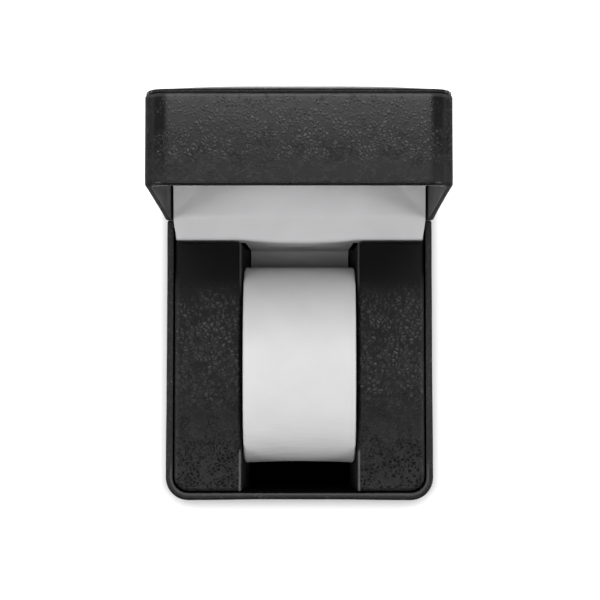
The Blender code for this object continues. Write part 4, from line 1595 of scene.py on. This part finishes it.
@dataclass
class BaseWrap(LeatherWrap):
    """The base's wrap: open below, turned in over the rim."""

    name: str = "base_leather_wrap"
    replaced: str = "base_wrap"
    body: str = "base"
    low: float = 0.2 * MM
    lip: float = 2.4 * MM
    rounding: float = 0.8 * MM
    side_bulge: float = 0.20 * MM
    front_least: float = 0.08 * MM
    front_bulge: float = 0.26 * MM
    proud: float = 0.03 * MM
    side_run: tuple = (-5 * MM, 44 * MM)
    front_run: tuple = (12 * MM, 38 * MM)
    rear_run: tuple = (44 * MM, 47 * MM)
    rear_lift: float = 0.15 * MM
    rear_fill: float = 0.8
    waves: Folds = Folds(19 * MM, 0.9, 0.05 * MM)
    lumps: Folds = Folds(5 * MM, 3.3, 0.035 * MM)

    def profile(self) -> np.ndarray:
        """Stations from the underside up the wall, over the edge and across the rim.

        Returns:
            How far in and how high each lies.
        """
        top, radius = self.box.rim, self.rounding
        notch = self.box.hinge_z - self.notch_reach
        wall = [(0.0, height) for height in (*np.linspace(self.low, notch, 17), top - radius)]
        edge = [(inset, top - drop) for inset, drop in quarter(radius, 5)]
        across = (1.1 * MM, self.notch_reach, 1.8 * MM, self.lip - 0.2 * MM)
        rim = [(inset, top) for inset in across]
        lip = [(self.lip, top - drop) for drop in (0.08 * MM, 0.6 * MM)]
        return np.array([*wall, *edge, *rim, *lip])

    def swollen(self, points: np.ndarray, out: np.ndarray, inset: np.ndarray) -> np.ndarray:
        """The points with the walls standing proud towards the front and at the rear's edge.

        Args:
            points: Places on the bare walls.
            out: The way out at each.
            inset: How far in each lies.

        Returns:
            The moved points.
        """
        front = eased(-points[:, 1], *self.side_run)
        middle = eased(np.abs(points[:, 0]), *self.front_run)
        outer = 1 - eased(inset, 0.2 * MM, self.lip)
        side = self.side_bulge * front * out[:, 0] ** 2
        ahead = np.where(out[:, 1] < 0, out[:, 1] ** 2, 0.0)
        ahead = ahead * (self.front_least + self.front_bulge * middle)
        soft = self.waves.at(points) * (out[:, 1] <= 0)
        push = (self.proud + side + ahead + soft) * outer
        behind = np.where(out[:, 1] > 0.3, out[:, 1], 0.0)
        lift = self.rear_lift * eased(points[:, 2], *self.rear_run) * (inset < 1.0 * MM)
        fill = np.where(inset < self.rounding + 0.01 * MM, self.rear_fill * inset, 0.0)
        push = push + behind * (lift + fill)
        lumps = self.lumps.at(points) * eased(inset, 0.4 * MM, 1.2 * MM)
        return points + np.c_[out * push[:, None], np.minimum(lumps, 0.02 * MM)]

    def near_hinge(self, height: float) -> bool:
        """Whether a height is that of the hinge's knuckles."""
        return height > self.box.hinge_z - self.notch_reach


@dataclass
class LidWrap(LeatherWrap):
    """The lid's wrap: turned in over its rim and under the pad."""

    name: str = "lid_leather_wrap"
    replaced: str = "lid_wrap"
    body: str = "lid"
    rim_level: float = 0.05 * MM
    height: float = 31.2 * MM
    turn_in: float = 1.35 * MM
    rim_round: float = 1.3 * MM
    roof_round: float = 0.5 * MM
    roof_lip: float = 2.2 * MM
    side_bulge: float = 0.93 * MM
    rim_waist: float = 0.22 * MM
    rim_in: float = 0.6 * MM
    waist_run: tuple = (0.3 * MM, 3.0 * MM)
    crown: float = 0.28 * MM
    waves: Folds = Folds(21 * MM, 2.7, 0.05 * MM)

    def profile(self) -> np.ndarray:
        """Stations from inside the rim, round its edge, up the wall, over the roof's edge and in.

        Returns:
            How far in and how high each lies.
        """
        level, notch = self.rim_level, self.notch_reach
        rim = [(inset, level) for inset in (self.turn_in, 1.1 * MM, 0.85 * MM)]
        turned = [
            (self.rim_in * (1 - math.sin(turn)), level + self.rim_round * (1 - math.cos(turn)))
            for turn in np.linspace(0, math.pi / 2, 7)
        ]
        wall = [(0.0, height) for height in np.linspace(notch, self.height - self.roof_round, 14)]
        edge = [(inset, self.height - drop) for inset, drop in quarter(self.roof_round, 5)]
        roof = [(inset, self.height) for inset in (1.2 * MM, 1.7 * MM, self.roof_lip)]
        return np.array([*rim, *turned, *wall, *edge, *roof])

    def swollen(self, points: np.ndarray, out: np.ndarray, inset: np.ndarray) -> np.ndarray:
        """The points with the side walls padded out and every wall a little crowned.

        Args:
            points: Places on the bare walls.
            out: The way out at each.
            inset: How far in each lies.

        Returns:
            The moved points.
        """
        height = points[:, 2]
        outer = 1 - eased(inset, 0.0, 1.5 * MM)
        above = np.clip((height - self.rim_level) / self.rim_round, 0, 1)
        rises = np.sqrt(np.clip(1 - (1 - above) ** 2, 0, 1))
        side = self.side_bulge * out[:, 0] ** 2 * rises
        share = np.clip(height / self.height, 0, 1)
        ahead = np.where(out[:, 1] < 0, out[:, 1] ** 2, 0.0)
        round_wall = self.crown * (4 * share * (1 - share) - 0.35) * ahead
        soft = self.waves.at(points) * (out[:, 1] <= 0)
        along = np.clip(1 - (points[:, 1] / (0.97 * self.box.half_length)) ** 4, 0, 1)
        low = 1 - eased(height, *self.waist_run)
        waist = self.rim_waist * along * low * out[:, 0] ** 2
        push = (side + round_wall + soft) * outer - waist * (1 - eased(inset, 0.6 * MM, 1.3 * MM))
        return points + np.c_[out * push[:, None], np.zeros(len(points))]

    def stand(self, points: np.ndarray) -> np.ndarray:
        """The points on the open lid: its depth runs along Y and its length along Z."""
        box = self.box
        return np.c_[
            points[:, 0], box.hinge_y + points[:, 2], box.hinge_z + box.half_length - points[:, 1]
        ]

    def near_hinge(self, height: float) -> bool:
        """Whether a height is that of the hinge's knuckles."""
        return height < self.notch_reach


@dataclass
class LidPad:
    """Padded top of the lid: leatherette drawn over foam on a board, crowned."""

    box: BoxSizes
    wardrobe: Wardrobe
    half_width: float = 51.75 * MM
    inset: float = 0.4 * MM
    back: float = 84.75 * MM
    edge: float = 86.02 * MM
    crown: float = 4.2 * MM
    front_radius: float = 8.0 * MM
    rear_radius: float = 0.9 * MM
    edge_round: float = 0.75 * MM
    terraces: tuple[tuple[float, float], ...] = ((2.4 * MM, 0.5 * MM), (6 * MM, 0.9 * MM))
    power: float = 4.6
    voxel: float = 1.2 * MM
    lumps: Folds = Folds(6 * MM, 5.1, 0.05 * MM)

    @property
    def low(self) -> float:
        """The pad's lowest height."""
        return self.box.hinge_z + self.inset

    @property
    def high(self) -> float:
        """The pad's greatest height."""
        return self.box.top - self.inset

    def crowned(self, points: np.ndarray) -> np.ndarray:
        """The crown's share at points."""
        return crown_share(points, self.half_width, self.low, self.high, self.power)

    def build(self) -> Solid:
        """Model the pad low, swell it to its crown and keep its edge crisp.

        Returns:
            The piece.
        """
        Bench.deselect()
        middle = (self.low + self.high) / 2
        size = (2 * self.half_width, self.edge - self.back, self.high - self.low)
        place = (0, (self.edge + self.back) / 2, middle)
        bpy.ops.mesh.primitive_cube_add(size=1.0, location=place, scale=size)
        item = Bench.named("lid_pad")

        def at_front_corner(edge: bmesh.types.BMEdge) -> bool:
            """Whether an edge stands at one of the two corners away from the hinge."""
            first, second = (vertex.co for vertex in edge.verts)
            return abs(first.y - second.y) > 0.5 * MM and min(first.z, second.z) > middle

        with Bench.editing(item, "EDGE"):
            Bench.pick(item, "edges", at_front_corner)
            bpy.ops.mesh.bevel(offset=self.front_radius, segments=8)
            bpy.ops.mesh.select_mode(type="FACE")
            bpy.ops.mesh.select_all(action="DESELECT")
            Bench.pick(item, "faces", lambda face: face.normal.y > 0.9)
            for width, rise in self.terraces:
                bpy.ops.mesh.inset(thickness=width)
                bpy.ops.transform.translate(value=(0, rise, 0))
        Bench.outward(item)
        held_to = self.edge - 0.25 * MM

        def cap(points: np.ndarray) -> np.ndarray:
            """How far each point may move: up to the pad's crown."""
            target = self.edge + self.crown * self.crowned(points)
            return np.clip(target - points[:, 1], 0.0, None)

        Upholstery.swell(item, self.voxel, lambda points: points[:, 1] < held_to, cap)
        self.press_edge(item)
        self.wardrobe.wear(item, Slot.BLACK_LEATHERETTE)
        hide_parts("lid_pad_cover", "lid_pad_foam")
        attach(item, "lid")
        return item

    def inside(self, points: np.ndarray) -> np.ndarray:
        """How far points lie inside the pad's outline.

        Args:
            points: Places in metres, in three columns.

        Returns:
            One distance for each point.
        """
        middle, half_height = (self.low + self.high) / 2, (self.high - self.low) / 2
        radius = np.where(points[:, 2] > middle, self.front_radius, self.rear_radius)
        across = np.abs(points[:, 0]) - (self.half_width - radius)
        along = np.abs(points[:, 2] - middle) - (half_height - radius)
        corner = np.hypot(np.maximum(across, 0), np.maximum(along, 0))
        return radius - corner - np.minimum(np.maximum(across, along), 0)

    def press_edge(self, item: Solid) -> None:
        """Turn the leatherette down crisply round the pad's board.

        Args:
            item: The swollen pad.
        """
        points = Bench.points(item)
        turned = 1 - np.clip(self.inside(points) / self.edge_round, 0, 1)
        drop = self.edge_round * (1 - np.sqrt(np.clip(1 - turned**2, 0, 1)))
        lumps = self.lumps.at(points) * np.minimum(turned + 0.3, 1)
        top = points[:, 1] > (self.back + self.edge) / 2
        target = self.edge + self.crown * self.crowned(points) - drop + lumps
        points[:, 1] = np.where(top, np.minimum(target, self.edge + self.crown), points[:, 1])
        Bench.place(item, points)


@dataclass
class CuffCover:
    """White leatherette drawn round the oval cuff and turned in over its edges."""

    box: BoxSizes
    wardrobe: Wardrobe
    half_length: float = 38.25 * MM
    bottom: float = 4.1 * MM
    top: float = 58 * MM
    centre_y: float = -1.4 * MM
    opening: float = 24 * MM
    power: float = 2.15
    clearance: float = 0.35 * MM
    widest: float = 21.55 * MM
    hollow: float = 0.55 * MM
    skin: float = 0.55 * MM
    depth: float = 3.2 * MM
    edge_radius: float = 0.9 * MM
    hem: float = 0.12 * MM
    hem_in: float = 1.5 * MM
    hem_width: float = 0.35 * MM
    waves: Folds = Folds(17 * MM, 0.4, 0.09 * MM)
    rounds: int = 220
    face_columns: int = 44

    def oval(self) -> tuple[np.ndarray, np.ndarray]:
        """Points in Y and Z round the oval from lip to lip, and the inward direction at each.

        Returns:
            Two arrays of two columns.
        """
        gap = math.asin((self.opening / (2 * self.half_length)) ** (self.power / 2))
        lip = math.cos(gap) ** (2 / self.power)
        half_height = (self.top - self.bottom) / (1 + lip)
        angle = np.linspace(-math.pi / 2 + gap, 1.5 * math.pi - gap, self.rounds + 1)
        wide, tall = np.cos(angle), np.sin(angle)
        y = self.half_length * np.sign(wide) * np.abs(wide) ** (2 / self.power)
        z = half_height * np.sign(tall) * np.abs(tall) ** (2 / self.power)
        y, z, _ = evenly(np.c_[y, z], self.rounds).T
        way = np.c_[np.gradient(y), np.gradient(z)]
        way /= np.linalg.norm(way, axis=1)[:, None]
        return (
            np.c_[y + self.centre_y, z + self.top - half_height],
            np.c_[-way[:, 1], way[:, 0]],
        )

    def section(self) -> np.ndarray:
        """The skin's section up one side and over its edge.

        Returns:
            How far in from the cuff's side and how deep under its face each station lies.
        """
        side = [(0.0, depth) for depth in np.linspace(self.depth, self.edge_radius, 5)]
        return np.array(side + quarter(self.edge_radius, 6))

    def build(self) -> Solid:
        """Draw the skin round the oval from a grid, thicken it and dress it.

        Returns:
            The piece.
        """
        edge = self.section()
        columns = 2 * (len(edge) - 1) + self.face_columns
        item = Bench.grid("cuff_skin", columns, self.rounds)
        grid = Bench.points(item)
        column = np.rint((grid[:, 0] + 0.5) * columns).astype(int)
        row = np.rint((grid[:, 1] + 0.5) * self.rounds).astype(int)
        middle, inward = self.oval()
        middle, inward = middle[row], inward[row]
        from_edge = np.minimum(column, columns - column)
        last = len(edge) - 1
        gap = edge[np.minimum(from_edge, last), 0]
        depth = edge[np.minimum(from_edge, last), 1]
        side = np.where(column * 2 < columns, -1.0, 1.0)
        half = np.minimum(self.box.channel_half(middle[:, 1]) - self.clearance, self.widest)
        across = (from_edge - last) / (self.face_columns / 2)
        on_face = from_edge > last
        reach = np.where(on_face, (half - self.edge_radius) * (1 - across), half - gap)
        x = side * reach
        hem = np.exp(-(((half - np.abs(x) - self.hem_in) / self.hem_width) ** 2)) * on_face
        soft = self.waves.at(np.c_[x, middle]) * on_face
        depth = depth + np.abs(soft) + self.hem * hem
        place = np.c_[x, middle + inward * depth[:, None]]
        ahead = eased(-place[:, 1], 24 * MM, 38 * MM) * eased(place[:, 2], 8 * MM, 20 * MM)
        place[:, 1] += self.hollow * ahead * (1 - (x / half) ** 2)
        Bench.place(item, place)
        Bench.outward(item)
        Bench.apply(item, "SOLIDIFY", thickness=self.skin, offset=-1.0)
        Bench.smooth(item, 50.0)
        self.wardrobe.wear(item, Slot.WHITE_LEATHERETTE)
        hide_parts("cuff_cover")
        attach(item, "cuff")
        return item


@dataclass(frozen=True)
class Softbox:
    """A rectangular lamp with a soft face."""

    name: str
    place: Triple
    aim: Triple
    width: float
    height: float
    power: float

    def build(self) -> Solid:
        """Add the lamp and turn it to its aim.

        Returns:
            The lamp.
        """
        Bench.deselect()
        bpy.ops.object.light_add(type="AREA", location=self.place)
        lamp = bpy.context.active_object
        lamp.name = self.name
        lamp.data.shape = "RECTANGLE"
        lamp.data.size = self.width
        lamp.data.size_y = self.height
        lamp.data.energy = self.power
        way = Vector(self.aim) - Vector(self.place)
        lamp.rotation_euler = way.to_track_quat("-Z", "Y").to_euler()
        return lamp


@dataclass
class Studio:
    """Camera, floor, lamps and the pale room round them."""

    camera_place: Triple = (1.7 * MM, -32.4 * MM, 819 * MM)
    camera_tilt: float = 4.1
    lens: float = 120.48
    shift_x: float = -0.00650
    floor_half: float = 6.0
    floor_drop: float = 0.05 * MM
    floor_glow: float = 0.62
    shadow_half_width: float = 45 * MM
    shadow_half_length: float = 63 * MM
    shadow_middle: float = 15.6 * MM
    shadow_from: float = 6.5 * MM
    shadow_to: float = 13.5 * MM
    wall_to_roof: tuple[float, float] = (0.30, 0.80)
    horizon: float = 0.20
    zenith: float = 0.05
    lamps: tuple[Softbox, ...] = (
        Softbox("rear_lamp", (0.0, 0.66, 1.85), (0.0, 0.0, 0.05), 1.6, 0.50, 15.0),
        Softbox("front_lamp", (0.0, -0.35, 1.85), (0.0, 0.0, 0.05), 1.6, 0.50, 7.3),
        Softbox("left_lamp", (-0.90, -0.22, 0.80), (0.0, 0.0, 0.05), 0.4, 0.5, 4.2),
        Softbox("right_lamp", (0.90, -0.22, 0.80), (0.0, 0.0, 0.05), 0.4, 0.5, 4.2),
    )

    def build(self) -> None:
        """Set up the camera, the floor, the lamps and the world."""
        self.build_camera()
        self.build_floor()
        for lamp in self.lamps:
            lamp.build()
            log.info("lamp %s", lamp.name)
        self.build_world()
        bpy.context.scene.view_settings.view_transform = "Standard"

    def build_camera(self) -> None:
        """Look down from above and a little in front, as the photograph does."""
        Bench.deselect()
        bpy.ops.object.camera_add(
            location=self.camera_place, rotation=(math.radians(self.camera_tilt), 0.0, 0.0)
        )
        camera = bpy.context.active_object
        camera.name = "photo_camera"
        camera.data.lens = self.lens
        camera.data.sensor_width = 36.0
        camera.data.shift_x = self.shift_x
        camera.data.clip_end = 30.0
        bpy.context.scene.camera = camera

    def build_floor(self) -> None:
        """A wide pale sheet under the box, white to the camera but for the box's shadow, whose
        outline near the box is painted by holding back its glow.
        """
        floor = Bench.grid("studio_floor", 8, 8, 2 * self.floor_half)
        points = Bench.points(floor)
        points[:, 2] -= self.floor_drop
        Bench.place(floor, points)
        graph = Graph("studio_paper")
        fibres = graph.noise(1.2 * MM, 3.0)
        graph.set(
            Base_Color=graph.colour(fibres, (0.83, 0.83, 0.83), (0.85, 0.85, 0.85)),
            Roughness=graph.range(fibres, 0.3, 0.7, 0.85, 0.95),
            Normal=graph.bumps((fibres, 0.02 * MM)),
            Specular_IOR_Level=0.1,
        )
        corner = graph.add("ShaderNodeCombineXYZ")
        for index, axis, middle, half in (
            (0, Axis.X, 0.0, self.shadow_half_width),
            (1, Axis.Y, self.shadow_middle, self.shadow_half_length),
        ):
            apart = graph.maths("ABSOLUTE", graph.maths("SUBTRACT", graph.part(axis), middle))
            beyond = graph.maths("SUBTRACT", apart, half)
            graph.feed(corner, index, graph.maths("MAXIMUM", beyond, 0.0))
        distance = graph.add("ShaderNodeVectorMath", operation="LENGTH")
        graph.feed(distance, 0, corner.outputs[0])
        # The glow is held back near the box, so the floor there shows its real shade within an
        # outline that is painted shadow.
        open_floor = graph.range(distance.outputs["Value"], self.shadow_from, self.shadow_to)
        rays = graph.add("ShaderNodeLightPath")
        seen = graph.maths("MAXIMUM", rays.outputs["Is Camera Ray"], rays.outputs["Is Glossy Ray"])
        seen = graph.maths("MAXIMUM", seen, rays.outputs["Is Transmission Ray"])
        graph.set(
            Emission_Color=(1.0, 1.0, 1.0, 1.0),
            Emission_Strength=graph.product(seen, self.floor_glow, open_floor),
        )
        Bench.dress(floor, graph.material)

    def build_world(self) -> None:
        """A pale room, brightest at its walls and dark above the camera."""
        world = bpy.data.worlds.new("studio_room")
        world.use_nodes = True
        tree = world.node_tree
        background = tree.nodes["Background"]
        place = tree.nodes.new("ShaderNodeTexCoord")
        parts = tree.nodes.new("ShaderNodeSeparateXYZ")
        fade = tree.nodes.new("ShaderNodeMapRange")
        fade.interpolation_type = "SMOOTHSTEP"
        tree.links.new(place.outputs["Generated"], parts.inputs[0])
        tree.links.new(parts.outputs[2], fade.inputs["Value"])
        ends = (*self.wall_to_roof, self.horizon, self.zenith)
        for socket, value in zip(("From Min", "From Max", "To Min", "To Max"), ends):
            fade.inputs[socket].default_value = value
        tree.links.new(fade.outputs["Result"], background.inputs["Strength"])
        background.inputs["Color"].default_value = (1.0, 1.0, 1.0, 1.0)
        bpy.context.scene.world = world


def main() -> None:
    """Build the studio, the finishes and the new pieces, in order."""
    logging.basicConfig(level=logging.INFO, format="%(message)s")
    box = BoxSizes()
    Studio().build()
    wardrobe = Wardrobe()
    wardrobe.dress_nodes()
    for maker in (BaseWrap, LidWrap, SatinFlap, LidCushion, LidPad, CuffCover):
        piece = maker(box, wardrobe).build()
        log.info("built %s with %d faces", piece.name, len(piece.data.polygons))


if __name__ == "__main__":
    main()
